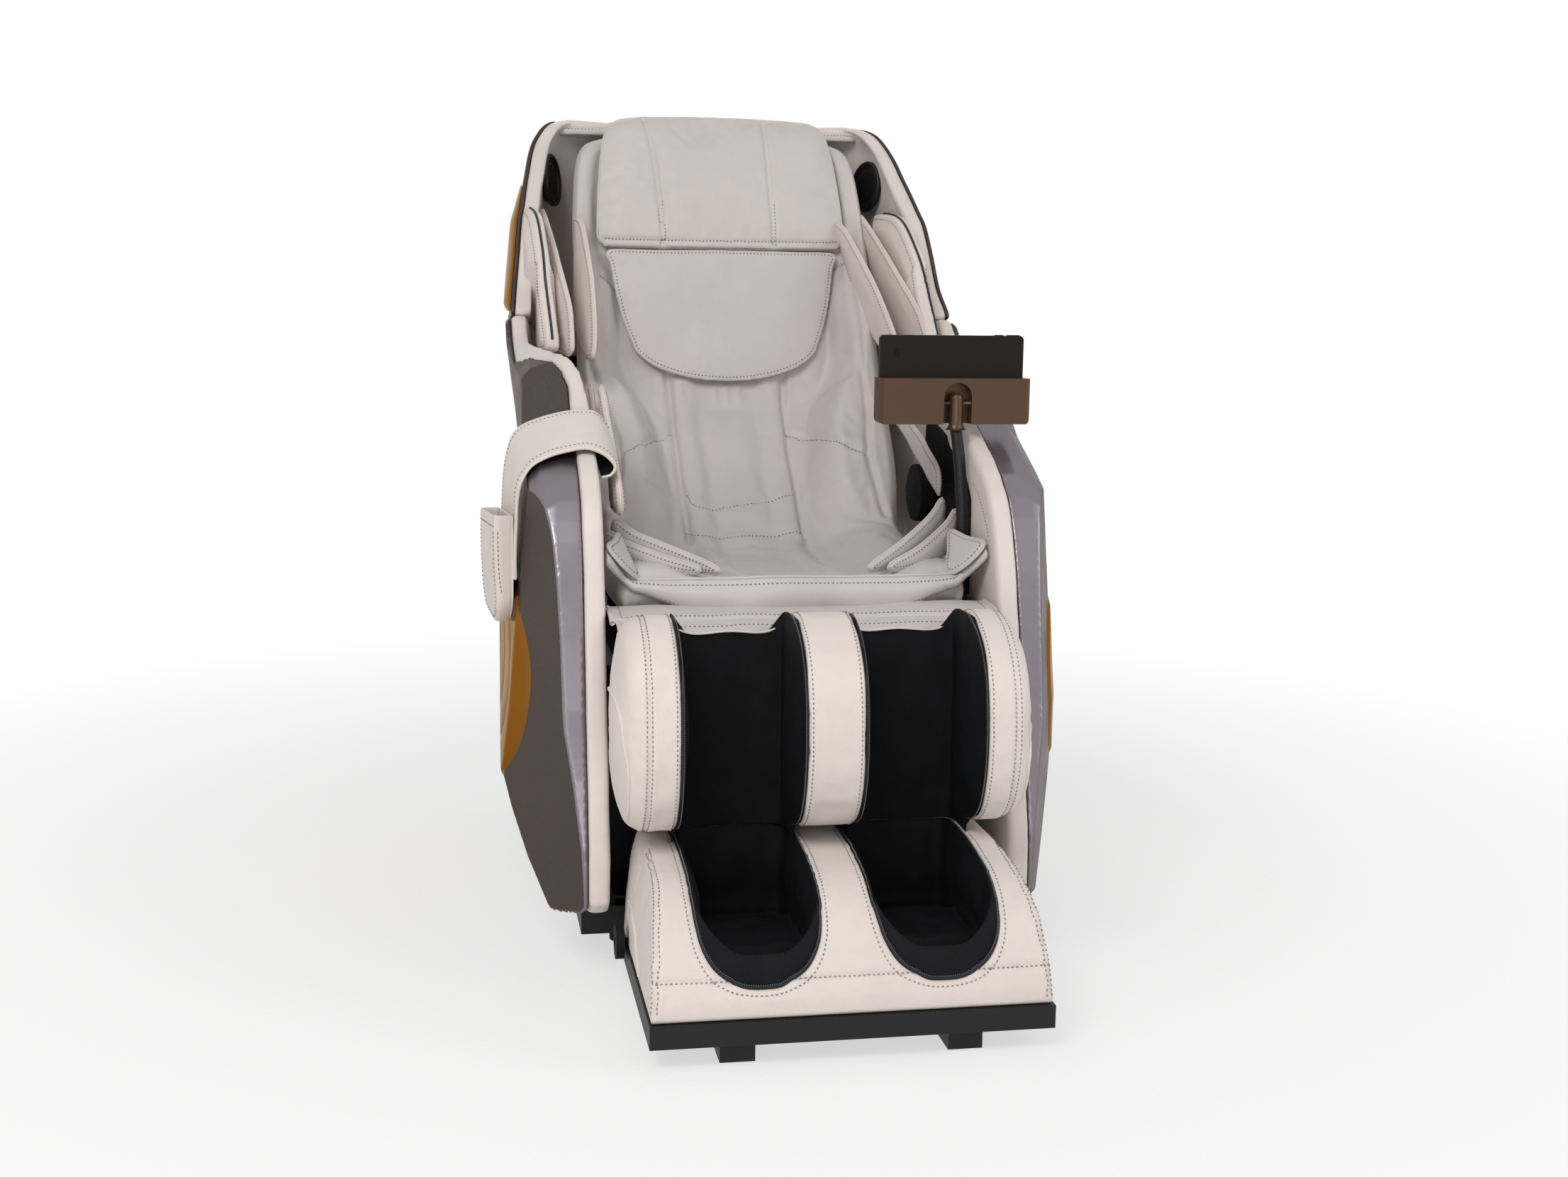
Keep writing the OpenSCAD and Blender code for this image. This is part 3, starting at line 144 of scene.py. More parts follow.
def normals_of(grid, closed_columns=False, closed_rows=False):
    """Unit normals of a grid of points."""
    across = (np.roll(grid, -1, 1) - np.roll(grid, 1, 1)) if closed_columns else np.gradient(grid, axis=1)
    along = (np.roll(grid, -1, 0) - np.roll(grid, 1, 0)) if closed_rows else np.gradient(grid, axis=0)
    n = np.cross(across, along)
    return n / np.maximum(np.linalg.norm(n, axis=2, keepdims=True), 1e-9)


def facing(normals, toward):
    """The normals, all turned round if they point against toward on the whole."""
    return -normals if (toward * normals).sum() < 0 else normals


def outward(piece):
    """Turns all faces of a piece to the outside."""
    work = bmesh.new()
    work.from_mesh(piece.data)
    bmesh.ops.recalc_face_normals(work, faces=work.faces)
    work.to_mesh(piece.data)
    work.free()
    return piece


def turned_out(piece, sign):
    """Turns the faces of an open piece away from the middle of the chair."""
    piece.data.update()
    if sum(f.normal.x for f in piece.data.polygons) * sign < 0:
        piece.data.flip_normals()


def pad_mesh(name, front, back, material, body=None, rim=3, full=0.42):
    """Closed pad between a front and a back grid of the same size, with a rim of rounded strips."""
    rows, columns = front.shape[:2]
    ring = [(0, j) for j in range(columns)] + [(i, columns - 1) for i in range(1, rows)]
    ring += [(rows - 1, j) for j in range(columns - 2, -1, -1)] + [(i, 0) for i in range(rows - 2, 0, -1)]
    middle = front.reshape(-1, 3).mean(0)
    points = [front.reshape(-1, 3), back.reshape(-1, 3)]
    faces = [tuple(reversed(f)) for f in grid_faces(rows, columns)]
    faces += grid_faces(rows, columns, start=rows * columns)
    edge_front = np.array([front[r] for r in ring])
    edge_back = np.array([back[r] for r in ring])
    thick = np.linalg.norm(edge_front - edge_back, axis=1, keepdims=True)
    out = edge_front - middle
    axis = (edge_front - edge_back) / np.maximum(thick, 1e-6)
    out -= (out * axis).sum(1, keepdims=True) * axis
    out /= np.maximum(np.linalg.norm(out, axis=1, keepdims=True), 1e-6)
    loops = [[r[0] * columns + r[1] for r in ring]]
    count = 2 * rows * columns
    for k in range(1, rim + 1):
        t = k / (rim + 1)
        points.append(edge_front * (1 - t) + edge_back * t + out * thick * full * math.sin(math.pi * t))
        loops.append(list(range(count, count + len(ring))))
        count += len(ring)
    loops.append([rows * columns + r[0] * columns + r[1] for r in ring])
    n = len(ring)
    for a, b in zip(loops, loops[1:]):
        faces += [(a[j], a[(j + 1) % n], b[(j + 1) % n], b[j]) for j in range(n)]
    piece = new_piece(name, np.vstack(points), faces, material)
    outward(piece)
    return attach(piece, body) if body else piece


def tube(name, path, radius, material, body=None, sides=8, closed=False):
    """Round tube along a path in millimetres; radius is one number or one for each point."""
    p = np.asarray(path, float)
    n = len(p)
    r = np.broadcast_to(np.asarray(radius, float), (n,))
    t = (np.roll(p, -1, 0) - np.roll(p, 1, 0)) if closed else np.gradient(p, axis=0)
    t /= np.maximum(np.linalg.norm(t, axis=1, keepdims=True), 1e-9)
    side = np.cross(t[0], [0.31, 0.17, 0.93])
    side /= np.linalg.norm(side)
    rings = []
    for i in range(n):
        side = side - t[i] * (side @ t[i])
        side /= np.linalg.norm(side)
        other = np.cross(t[i], side)
        a = np.arange(sides) * 2 * math.pi / sides
        rings.append(p[i] + r[i] * (np.cos(a)[:, None] * side + np.sin(a)[:, None] * other))
    faces = grid_faces(n, sides, closed_columns=True, closed_rows=closed)
    if not closed:
        faces += end_caps(n, sides)
    return new_piece(name, np.vstack(rings), faces, material, body)


def joined(*pieces):
    """Points in metres and faces of the given pieces, as one."""
    points, faces = [], []
    for piece in pieces:
        start = len(points)
        points += [piece.matrix_world @ v.co for v in piece.data.vertices]
        faces += [[start + i for i in f.vertices] for f in piece.data.polygons]
    return points, faces


def surface_of(piece):
    """Tree that finds the nearest point of a piece, in metres."""
    return BVHTree.FromPolygons(*joined(piece))


def onto(tree, line, lift=0.0, aside=0.0):
    """The line moved onto a surface, in millimetres, with the normals there; aside shifts it sideways."""
    line = np.asarray(line, float)
    run = np.gradient(line, axis=0)
    points, normals = [], []
    for p, t in zip(line, run):
        hit, normal, _, _ = tree.find_nearest(Vector(p * 0.001))
        if aside:
            across = Vector(t).cross(normal).normalized()
            hit, normal, _, _ = tree.find_nearest(hit + across * aside * 0.001)
        points.append(np.array(hit) * 1000 + np.array(normal) * lift)
        normals.append(np.array(normal))
    return np.array(points), np.array(normals)


def stitch_along(points, faces, tree, line, aside=0.0, pitch=5.8, thread=0.8, gap=0.42, lift=0.1, smooth_line=True):
    """Adds the stitches along a line; aside moves the row off the line, across the surface."""
    line = np.asarray(line, float)
    if smooth_line and len(line) > 2:
        line = even(line, max(8, int(length_of(line) / 8)))
    count = max(2, int(length_of(line) / pitch))
    line = even(line, 2 * count + 1) if len(line) > 2 else np.linspace(line[0], line[1], 2 * count + 1)
    on, normal = onto(tree, line, lift, aside)
    for k in range(count):
        a, b = on[2 * k], on[2 * k + 2]
        run = b - a
        a, b = a + run * gap * 0.5, b - run * gap * 0.5
        up = normal[2 * k + 1]
        mid = on[2 * k + 1] + up * thread * 0.35
        across = np.cross(run, up)
        across /= max(np.linalg.norm(across), 1e-9)
        start = len(points)
        for centre, size in ((a - up * thread, 0.5), ((a + mid) / 2, 1), (mid, 1.05), ((b + mid) / 2, 1),
                             (b - up * thread, 0.5)):
            for turn in range(6):
                angle = turn * math.pi / 3
                points.append(centre + thread * size * (across * math.cos(angle) + up * math.sin(angle)))
        faces += grid_faces(5, 6, closed_columns=True, start=start)
        faces += [tuple(start + j for j in range(6)), tuple(start + 24 + j for j in range(5, -1, -1))]


def sew(name, tree, rows, material, body, **usual):
    """One piece of thread from rows of stitches; a row is a line, or a line with settings of its own."""
    points, faces = [], []
    for row in rows:
        line, own = row if isinstance(row, tuple) else (row, {})
        stitch_along(points, faces, tree, line, **{**usual, **own})
    return new_piece(name, points, faces, material, body)


ZIP_TEETH = {"pitch": 2.7, "thread": 0.85, "gap": 0.3, "lift": 0.2, "smooth_line": False}


def distance_to(points, line):
    """Distance of each point to a line of points."""
    best = np.full(len(points), 1e9)
    for a, b in zip(line[:-1], line[1:]):
        d = b - a
        t = np.clip(((points - a) @ d) / max(d @ d, 1e-9), 0, 1)
        best = np.minimum(best, np.linalg.norm(points - a - t[:, None] * d, axis=1))
    return best


def near_lines(points, lines, reach):
    """Which of the points are nearer than reach to one of the lines."""
    return np.any([distance_to(points, line) < reach for line in lines], axis=0)


def seam_depth(points, line, width=2.2, depth=2.0, swell=0.35):
    """How far a sewn seam draws the surface in near its line, with the leather swelling beside it."""
    d = distance_to(points, np.asarray(line, float))
    return -depth * np.exp(-(d / width) ** 2) + swell * depth * np.exp(-((d - 3 * width) / (1.8 * width)) ** 2)


def creases(points, size, stretch=(1, 1, 1), seed=0.0):
    """Soft folds: smooth noise of about unit height at points in millimetres."""
    s = np.asarray(stretch, float) / size
    return np.array([noise.noise(Vector(p * s) + Vector((seed, 2.3 * seed, -seed))) for p in points])


def move_points(piece, shift):
    """Moves each point of a piece along its normal by shift, in millimetres."""
    mesh = piece.data
    count = len(mesh.vertices)
    co = np.empty(count * 3)
    mesh.vertices.foreach_get("co", co)
    normal = np.array([v.normal for v in mesh.vertices])
    co = co.reshape(-1, 3) + normal * np.asarray(shift)[:, None] * 0.001
    mesh.vertices.foreach_set("co", co.ravel())
    mesh.update()
    return piece


def points_of(piece):
    """Points of a piece in millimetres."""
    co = np.empty(len(piece.data.vertices) * 3)
    piece.data.vertices.foreach_get("co", co)
    return co.reshape(-1, 3) * 1000


def place_points(piece, points):
    """Puts the points of a piece at the given places in millimetres."""
    piece.data.vertices.foreach_set("co", (points * 0.001).ravel())
    piece.data.update()


def inflate(piece, pinned, pressure=4.0, grow=0.02, cap=10.0, frames=20, bend=0.5):
    """Cloth simulation of a stuffed piece: pinned points stay, the rest swells by at most cap millimetres."""
    if not FULL:
        return piece
    group = piece.vertex_groups.new(name="pinned")
    group.add([int(i) for i in np.flatnonzero(pinned)], 1.0, "REPLACE")
    cloth = piece.modifiers.new("cloth", "CLOTH")
    s = cloth.settings
    s.quality = 4
    s.mass = 0.25
    s.tension_stiffness = s.compression_stiffness = 12
    s.bending_stiffness = bend
    s.use_pressure = True
    s.uniform_pressure_force = pressure
    s.shrink_min = -grow
    s.vertex_group_mass = "pinned"
    s.effector_weights.gravity = 0
    cloth.collision_settings.use_collision = False
    cloth.point_cache.frame_start = 1
    cloth.point_cache.frame_end = frames
    rest = points_of(piece)
    for f in range(1, frames + 1):
        scene.frame_set(f)
    shift = points_of(piece.evaluated_get(bpy.context.evaluated_depsgraph_get())) - rest
    far = np.linalg.norm(shift, axis=1, keepdims=True)
    shift *= np.minimum(1, cap / np.maximum(far, 1e-9))
    piece.modifiers.remove(cloth)
    piece.vertex_groups.clear()
    scene.frame_set(1)
    place_points(piece, rest + shift)
    return piece


def finer(piece, levels=1):
    """One more level of smooth subdivision, kept as a modifier."""
    m = piece.modifiers.new("finer", "SUBSURF")
    m.levels = m.render_levels = levels
    return piece


# ---- Materials ----


class Nodes:
    """Short way to build a material's node tree."""

    def __init__(self, name):
        self.material = bpy.data.materials.new(name)
        self.material.use_nodes = True
        self.tree = self.material.node_tree
        self.shader = self.tree.nodes["Principled BSDF"]
        self.place = self.tree.nodes.new("ShaderNodeTexCoord").outputs["Object"]

    def add(self, kind, **values):
        node = self.tree.nodes.new(kind)
        for key, value in values.items():
            if isinstance(value, bpy.types.NodeSocket):
                self.tree.links.new(value, node.inputs[int(key[1:]) if key[0] == "_" else key])
            elif key[0] == "_":
                node.inputs[int(key[1:])].default_value = value
            elif hasattr(node, key):
                setattr(node, key, value)
            else:
                node.inputs[key].default_value = value
        return node

    def set(self, **values):
        for key, value in values.items():
            socket = self.shader.inputs[key.replace("_", " ")]
            if isinstance(value, bpy.types.NodeSocket):
                self.tree.links.new(value, socket)
            else:
                socket.default_value = value
        return self

    def math(self, operation, a, b=0.0):
        return self.add("ShaderNodeMath", operation=operation, _0=a, _1=b).outputs[0]

    def noise(self, scale, detail=3.0, place=None):
        return self.add("ShaderNodeTexNoise", Vector=place or self.place, Scale=scale, Detail=detail).outputs["Fac"]

    def between(self, factor, low, high, from_low=0.35, from_high=0.65):
        """Value that runs from low to high as the factor does."""
        return self.add("ShaderNodeMapRange", _0=factor, _1=from_low, _2=from_high, _3=low, _4=high).outputs[0]

    def tint(self, factor, a, b):
        """Colour between a and b by the factor."""
        mix = self.tree.nodes.new("ShaderNodeMix")
        mix.data_type = "RGBA"
        self.tree.links.new(factor, mix.inputs[0])
        for socket, colour in ((mix.inputs[6], a), (mix.inputs[7], b)):
            if isinstance(colour, bpy.types.NodeSocket):
                self.tree.links.new(colour, socket)
            else:
                socket.default_value = (*colour, 1)
        return mix.outputs[2]

    def bump(self, height, strength, distance, under=None):
        node = self.add("ShaderNodeBump", Height=height, Strength=strength, Distance=distance)
        if under is not None:
            self.tree.links.new(under, node.inputs["Normal"])
        return node.outputs["Normal"]


def srgb(r, g, b):
    """Linear colour of an 8-bit screen colour."""
    return tuple(c / 12.92 if c <= 0.04045 else ((c + 0.055) / 1.055) ** 2.4 for c in (r / 255, g / 255, b / 255))


def darker(colour, share):
    return tuple(c * share for c in colour)


def leather(name, colour, grain=900.0, rough=0.5, depth=0.35):
    """Fine-grained synthetic leather: pebbled grain, soft mottling and faint handling marks."""
    m = Nodes(name)
    pebbles = m.add("ShaderNodeTexVoronoi", Vector=m.place, Scale=grain).outputs["Distance"]
    pores = m.noise(grain * 1.7, 2.0)
    cloud = m.noise(9.0, 4.0)
    marks = m.noise(60.0, 5.0)
    base = m.tint(m.between(cloud, 0, 1), darker(colour, 0.95), colour)
    base = m.tint(m.between(marks, 0, 0.3, 0.5, 0.75), base, darker(colour, 0.9))
    height = m.math("ADD", m.math("MULTIPLY", pebbles, 0.8), m.math("MULTIPLY", pores, 0.35))
    soft = m.bump(cloud, 0.12, 0.004)
    m.set(Base_Color=base, Roughness=m.between(marks, rough - 0.06, rough + 0.1),
          Normal=m.bump(height, depth, 0.0004, soft), Specular_IOR_Level=0.4, Sheen_Weight=0.08, Sheen_Roughness=0.5)
    return m.material


def lacquer(m, colour, glint, flake, rough, **values):
    """Colour with fine flakes that glint, under a clear coat with a faint orange peel."""
    flakes = m.add("ShaderNodeTexVoronoi", Vector=m.place, Scale=2600.0).outputs["Color"]
    value = m.add("ShaderNodeSeparateColor", _0=flakes).outputs[0]
    m.set(Base_Color=m.tint(m.between(value, 0, flake, 0, 1), colour, glint),
          Roughness=m.between(m.noise(14.0, 4.0), rough - 0.03, rough + 0.05),
          Normal=m.bump(m.noise(160.0, 2.0), 0.03, 0.0006), Coat_Roughness=0.12, **values)
    return m.material


def metal_paint(name, colour, rough=0.34, metallic=0.75, flake=0.25, coat=0.25, shine=0.3, edge=0.3):
    """Metallic lacquer; a low edge makes its reflections paler than its colour."""
    glint = tuple(min(1, c * 1.8 + 0.03) for c in colour)
    return lacquer(Nodes(name), colour, glint, flake, rough, Metallic=metallic, Specular_IOR_Level=shine,
                   Specular_Tint=(*(min(1, c ** edge) for c in colour), 1), Coat_Weight=coat)


def plastic(name, colour, rough=0.5, texture=420.0, depth=0.25, shine=0.3):
    """Moulded plastic with a fine spark-eroded texture and a soft cloudy tone."""
    m = Nodes(name)
    grain = m.noise(texture, 3.0)
    cloud = m.noise(7.0, 3.0)
    base = m.tint(m.between(cloud, 0, 1), darker(colour, 0.85), colour)
    m.set(Base_Color=base, Roughness=m.between(grain, rough - 0.05, rough + 0.08),
          Normal=m.bump(grain, depth, 0.0003), Specular_IOR_Level=shine)
    return m.material


def weave(name, colour, pitch=0.0011, rough=0.85, depth=0.6, sheen=0.3, open_work=0.0, shine=0.12):
    """Woven or knitted fabric: crossing threads, with lint on top and soft patches of painted light and shade for
    folds; open_work paints shade into the openings of a spacer mesh.
    """
    m = Nodes(name)
    xyz = m.add("ShaderNodeSeparateXYZ", Vector=m.place)
    waves = [m.math("SINE", m.math("MULTIPLY", xyz.outputs[k], 2 * math.pi / pitch)) for k in range(3)]
    threads = m.math("ADD", m.math("MULTIPLY", waves[0], waves[2]), m.math("MULTIPLY", waves[1], waves[2]))
    lint = m.noise(900.0, 3.0)
    # Soft patches of lighter and darker colour: painted light and shade of folds
    folds = m.noise(26.0, 4.0)
    height = m.math("ADD", threads, m.math("MULTIPLY", lint, 0.8))
    base = m.tint(m.between(folds, 0, 1), darker(colour, 0.7), tuple(c * 1.25 for c in colour))
    # Painted shade: the openings of an open-work mesh are darkened
    if open_work:
        painted_hole_shade = m.between(threads, 1, 0, open_work, open_work + 0.3)
        base = m.tint(painted_hole_shade, darker(colour, 0.25), base)
    m.set(Base_Color=base, Roughness=m.between(lint, rough - 0.08, rough + 0.08),
          Normal=m.bump(height, depth, 0.0004), Specular_IOR_Level=shine, Sheen_Weight=sheen, Sheen_Roughness=0.4)
    return m.material


def steel(name, colour, rough=0.35, along=(1, 1, 40)):
    """Bare or plated steel with faint drawing marks."""
    m = Nodes(name)
    stretch = m.add("ShaderNodeMapping", Vector=m.place)
    stretch.inputs["Scale"].default_value = along
    marks = m.noise(60.0, 4.0, stretch.outputs["Vector"])
    haze = m.noise(11.0, 3.0)
    base = m.tint(m.between(haze, 0, 1), darker(colour, 0.85), colour)
    m.set(Base_Color=base, Roughness=m.between(marks, rough - 0.08, rough + 0.1), Normal=m.bump(marks, 0.1, 0.0002),
          Metallic=1.0)
    return m.material


def arm_paint():
    """Metallic lacquer of an arm: violet grey on the front blade, brown on the outer faces and the wing, and brown
    painted shade on the upper part of the right arm.
    """
    m = Nodes("arm_metallic")
    coords = m.tree.nodes.new("ShaderNodeTexCoord")
    sideways = m.add("ShaderNodeSeparateXYZ", Vector=coords.outputs["Normal"]).outputs[0]
    across, depth, height = m.add("ShaderNodeSeparateXYZ", Vector=m.place).outputs[:3]
    outer = m.between(m.math("ABSOLUTE", sideways), 0, 1, 0.74, 0.84)
    wing = m.between(depth, 0, 1, -0.21, -0.17)
    # Painted shade: the right arm above 0.665 m is painted brown, standing in for the shade on its top
    painted_top_shade = m.math("MULTIPLY", m.between(height, 0, 1, 0.64, 0.665), m.between(across, 1, 0, -0.05, 0.05))
    brown = m.math("MAXIMUM", m.math("MAXIMUM", outer, wing), painted_top_shade)
    base = m.tint(brown, srgb(124, 117, 125), srgb(66, 56, 51))
    return lacquer(m, base, (0.6, 0.55, 0.55), 0.1, 0.33, Metallic=0.85, Specular_Tint=(0.55, 0.5, 0.48, 1),
                   Coat_Weight=0.05)


LIGHT = srgb(226, 216, 209)
GREY = srgb(203, 195, 193)
PILLOW = srgb(207, 199, 193)
mat = {
    "light": leather("leather_light", LIGHT),
    "grey": leather("leather_grey", GREY),
    "pillow": leather("leather_pillow", PILLOW),
    # Threads painted at about half their leather's colour: painted shade of the stitch holes and of the shadows
    # beside the pale thread
    "thread_light_painted_shade": weave("thread_light_painted_shade", darker(LIGHT, 0.46), 0.0004, 0.7, 0.5, 0.1),
    "thread_grey_painted_shade": weave("thread_grey_painted_shade", darker(GREY, 0.48), 0.0004, 0.7, 0.5, 0.1),
    "shell": metal_paint("shell_metallic", srgb(68, 58, 53), 0.36, 0.7, 0.1, 0.12),
    "arm": arm_paint(),
    "insert": metal_paint("insert_gloss", srgb(132, 86, 38), 0.22, 0.95, 0.08, 0.06, 0.25),
    "fabric": weave("black_fabric", srgb(12, 13, 16), 0.0008, 0.72, 0.35, 0.0, 0.0, 0.17),
    "mesh": weave("spacer_mesh", srgb(17, 17, 19), 0.0036, 0.8, 0.9, 0.0, 0.9),
    "zip": plastic("zip_tape", srgb(18, 18, 21), 0.5, 900.0),
    # Teeth painted a lighter grey than the tape: painted glints, on top of their real gloss
    "teeth": plastic("zip_teeth_painted_glint", srgb(66, 71, 79), 0.2, 900.0, 0.1, 0.9),
    "black": plastic("black_plastic", srgb(24, 23, 24), 0.5),
    "rubber": plastic("black_rubber", srgb(20, 20, 21), 0.75, 420.0, 0.25, 0.2),
    "neck": plastic("gooseneck_skin", srgb(24, 23, 25), 0.42, 300.0, 0.2, 0.25),
    "cradle": metal_paint("cradle_bronze", srgb(84, 64, 49), 0.34, 0.55, 0.12, 0.1),
    "tablet": metal_paint("tablet_back", srgb(34, 27, 25), 0.4, 0.4, 0.06, 0.1, 0.25),
    "frame": plastic("frame_powder_coat", srgb(28, 28, 31), 0.45, 300.0),
    "steel": steel("bright_steel", srgb(190, 192, 196)),
    "red": plastic("switch_red", srgb(165, 30, 24), 0.35),
    "grille": weave("speaker_grille", srgb(22, 22, 24), 0.003, 0.6, 1.0, 0.0, 0.5),
}

# ---- Camera, light and floor ----
EYE = (-0.4787, -2.7976, 0.9054)
YAW, PITCH, ROLL = 0.1691, 0.1331, 0.0135
PHOTO = (2212, 1661)
FOCAL_PX = 2588.6
CENTRE_PX = (1050.84, 738.37)

camera = bpy.data.objects.new("camera", bpy.data.cameras.new("camera"))
scene.collection.objects.link(camera)
camera.location = EYE
ahead = Vector((math.sin(YAW) * math.cos(PITCH), math.cos(YAW) * math.cos(PITCH), -math.sin(PITCH)))
right = Vector((math.cos(YAW), -math.sin(YAW), 0))
up = right.cross(ahead)
tipped_right = right * math.cos(ROLL) + up * math.sin(ROLL)
tipped_up = -right * math.sin(ROLL) + up * math.cos(ROLL)
camera.rotation_mode = "QUATERNION"
camera.rotation_quaternion = Matrix((tipped_right, tipped_up, -ahead)).transposed().to_quaternion()
camera.data.sensor_width = 36
camera.data.lens = FOCAL_PX / PHOTO[0] * 36
camera.data.shift_x = (PHOTO[0] / 2 - CENTRE_PX[0]) / PHOTO[0]
camera.data.shift_y = -(PHOTO[1] / 2 - CENTRE_PX[1]) / PHOTO[0]
camera.data.clip_end = 50
scene.camera = camera
scene.view_settings.view_transform = "Standard"


def seen_directly(nodes_tree):
    """1 for camera, glossy and transmission rays."""
    paths = nodes_tree.nodes.new("ShaderNodeLightPath")
    seen = paths.outputs["Is Camera Ray"]
    for other in ("Is Glossy Ray", "Is Transmission Ray"):
        larger = nodes_tree.nodes.new("ShaderNodeMath")
        larger.operation = "MAXIMUM"
        nodes_tree.links.new(seen, larger.inputs[0])
        nodes_tree.links.new(paths.outputs[other], larger.inputs[1])
        seen = larger.outputs[0]
    return seen


ROOM_LIGHT = 0.36  # strength of the world's light on the object

# The world: plain white to the camera and in reflections, and softer to the rest
world = bpy.data.worlds.new("soft_room")
world.use_nodes = True
scene.world = world
background = world.node_tree.nodes["Background"]
background.inputs["Color"].default_value = (1, 1, 1, 1)
level = world.node_tree.nodes.new("ShaderNodeMapRange")
level.inputs[3].default_value = ROOM_LIGHT
level.inputs[4].default_value = 1.0
world.node_tree.links.new(seen_directly(world.node_tree), level.inputs[0])
world.node_tree.links.new(level.outputs[0], background.inputs["Strength"])


def soft_light(name, place, target, size, watts, colour=(1, 1, 1)):
    data = bpy.data.lights.new(name, "AREA")
    data.shape = "RECTANGLE"
    data.size, data.size_y = size
    data.energy = watts
    data.color = colour
    lamp = bpy.data.objects.new(name, data)
    scene.collection.objects.link(lamp)
    lamp.location = place
    lamp.rotation_euler = (Vector(target) - Vector(place)).to_track_quat("-Z", "Y").to_euler()


soft_light("key", (-1.6, -2.6, 2.9), (0, 0, 0.6), (1.7, 1.3), 60, (1, 0.985, 0.965))
soft_light("fill", (2.4, -1.8, 1.9), (0, 0, 0.6), (1.8, 1.8), 22, (0.97, 0.985, 1))
soft_light("back", (0.4, 3.0, 2.4), (0, 0.2, 0.7), (2.0, 1.4), 24)
soft_light("low", (-0.6, -3.0, 0.5), (0, -0.3, 0.3), (2.0, 0.8), 10, (1, 0.97, 0.94))

FLOOR_REACH = 9.0  # metres
FLOOR_TINTED, FLOOR_WHITE = 0.8, 1.9  # distances from the middle between which the floor turns plain white
floor_mesh = bpy.data.meshes.new("floor")
floor_mesh.from_pydata([(x * FLOOR_REACH, y * FLOOR_REACH, 0) for x, y in ((-1, -1), (1, -1), (1, 1), (-1, 1))], [],
                       [(0, 1, 2, 3)])
floor = bpy.data.objects.new("floor", floor_mesh)
scene.collection.objects.link(floor)
floor_paint = Nodes("floor_paint")
speckle = floor_paint.between(floor_paint.noise(140.0, 3.0), 0, 1)
floor_paint.set(Base_Color=floor_paint.tint(speckle, (0.83, 0.83, 0.83), (0.87, 0.87, 0.87)), Roughness=0.9)
far_out = floor_paint.add("ShaderNodeVectorMath", operation="LENGTH", _0=floor_paint.place).outputs["Value"]
plainness = floor_paint.between(far_out, 0.62, 1.0, FLOOR_TINTED, FLOOR_WHITE)
plainness = floor_paint.math("MULTIPLY", plainness, seen_directly(floor_paint.tree))
white = floor_paint.tree.nodes.new("ShaderNodeEmission")
blended = floor_paint.tree.nodes.new("ShaderNodeMixShader")
floor_paint.tree.links.new(plainness, blended.inputs[0])
floor_paint.tree.links.new(floor_paint.shader.outputs[0], blended.inputs[1])
floor_paint.tree.links.new(white.outputs[0], blended.inputs[2])
floor_paint.tree.links.new(blended.outputs[0], floor_paint.tree.nodes["Material Output"].inputs["Surface"])
floor_mesh.materials.append(floor_paint.material)

# ---- Forms shared with the construction: the same named sizes, in millimetres ----
HIP = (30, 400)
SIDES = (("left", 1), ("right", -1))  # of the chair, with the sign of x


def along(table, i):
    a, b = table[max(0, i - 1)], table[min(len(table) - 1, i + 1)]
    d = np.array([b[0] - a[0], b[1] - a[1]], float)
    return d / np.linalg.norm(d)


def mixed(a, b, t):
    return a + (b - a) * t


def meshes_of(node):
    """A CAD node's mesh objects, with all that is under it."""
    return [part for part in [nodes[node], *nodes[node].children_recursive] if part.type == "MESH"]


def merged(name, points, faces, flat=None):
    """Mesh with its doubled points joined, and with faces that meet at less than the angle flat joined."""
    mesh = bpy.data.meshes.new(name)
    mesh.from_pydata(points, [], faces)
    work = bmesh.new()
    work.from_mesh(mesh)
    bmesh.ops.remove_doubles(work, verts=work.verts, dist=1e-5)
    if flat:
        bmesh.ops.dissolve_limit(work, angle_limit=flat, verts=work.verts, edges=work.edges)
    work.to_mesh(mesh)
    work.free()
    return mesh


def skinned(name, mesh, voxel, rounds):
    """Smoothed voxel skin of a closed mesh, as a new mesh."""
    rough = bpy.data.objects.new(name + "_rough", mesh)
    scene.collection.objects.link(rough)
    skin = rough.modifiers.new("skin", "REMESH")
    skin.mode = "VOXEL"
    skin.voxel_size = voxel * 0.001
    soft = rough.modifiers.new("soft", "SMOOTH")
    soft.factor = 0.5
    soft.iterations = rounds
    done = bpy.data.meshes.new_from_object(rough.evaluated_get(bpy.context.evaluated_depsgraph_get()))
    done.name = name
    bpy.data.objects.remove(rough)
    return done


def shown(name, mesh, material, body):
    """Smoothly shaded piece on a body, from a finished mesh."""
    mesh.materials.clear()
    mesh.materials.append(material)
    mesh.polygons.foreach_set("use_smooth", [True] * len(mesh.polygons))
    piece = bpy.data.objects.new(name, mesh)
    scene.collection.objects.link(piece)
    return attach(piece, body)


SNAP_BLEND = 0.0012  # metres over which the snap to the CAD surface fades in


def sculpted(name, node, voxel, rounds, material, body, snap=0.0022):
    """Smooth piece made from a CAD solid: voxel skin, then smoothing; points nearer than snap go back onto it."""
    points, faces = joined(*meshes_of(node))
    done = skinned(name, merged(name + "_rough", points, faces), voxel, rounds)
    tree = BVHTree.FromPolygons(points, faces)
    for v in done.vertices:
        hit, _, _, far = tree.find_nearest(v.co)
        if far < snap:
            v.co = v.co.lerp(hit, min(1.0, (snap - far) / SNAP_BLEND))
    return shown(name, done, material, body)


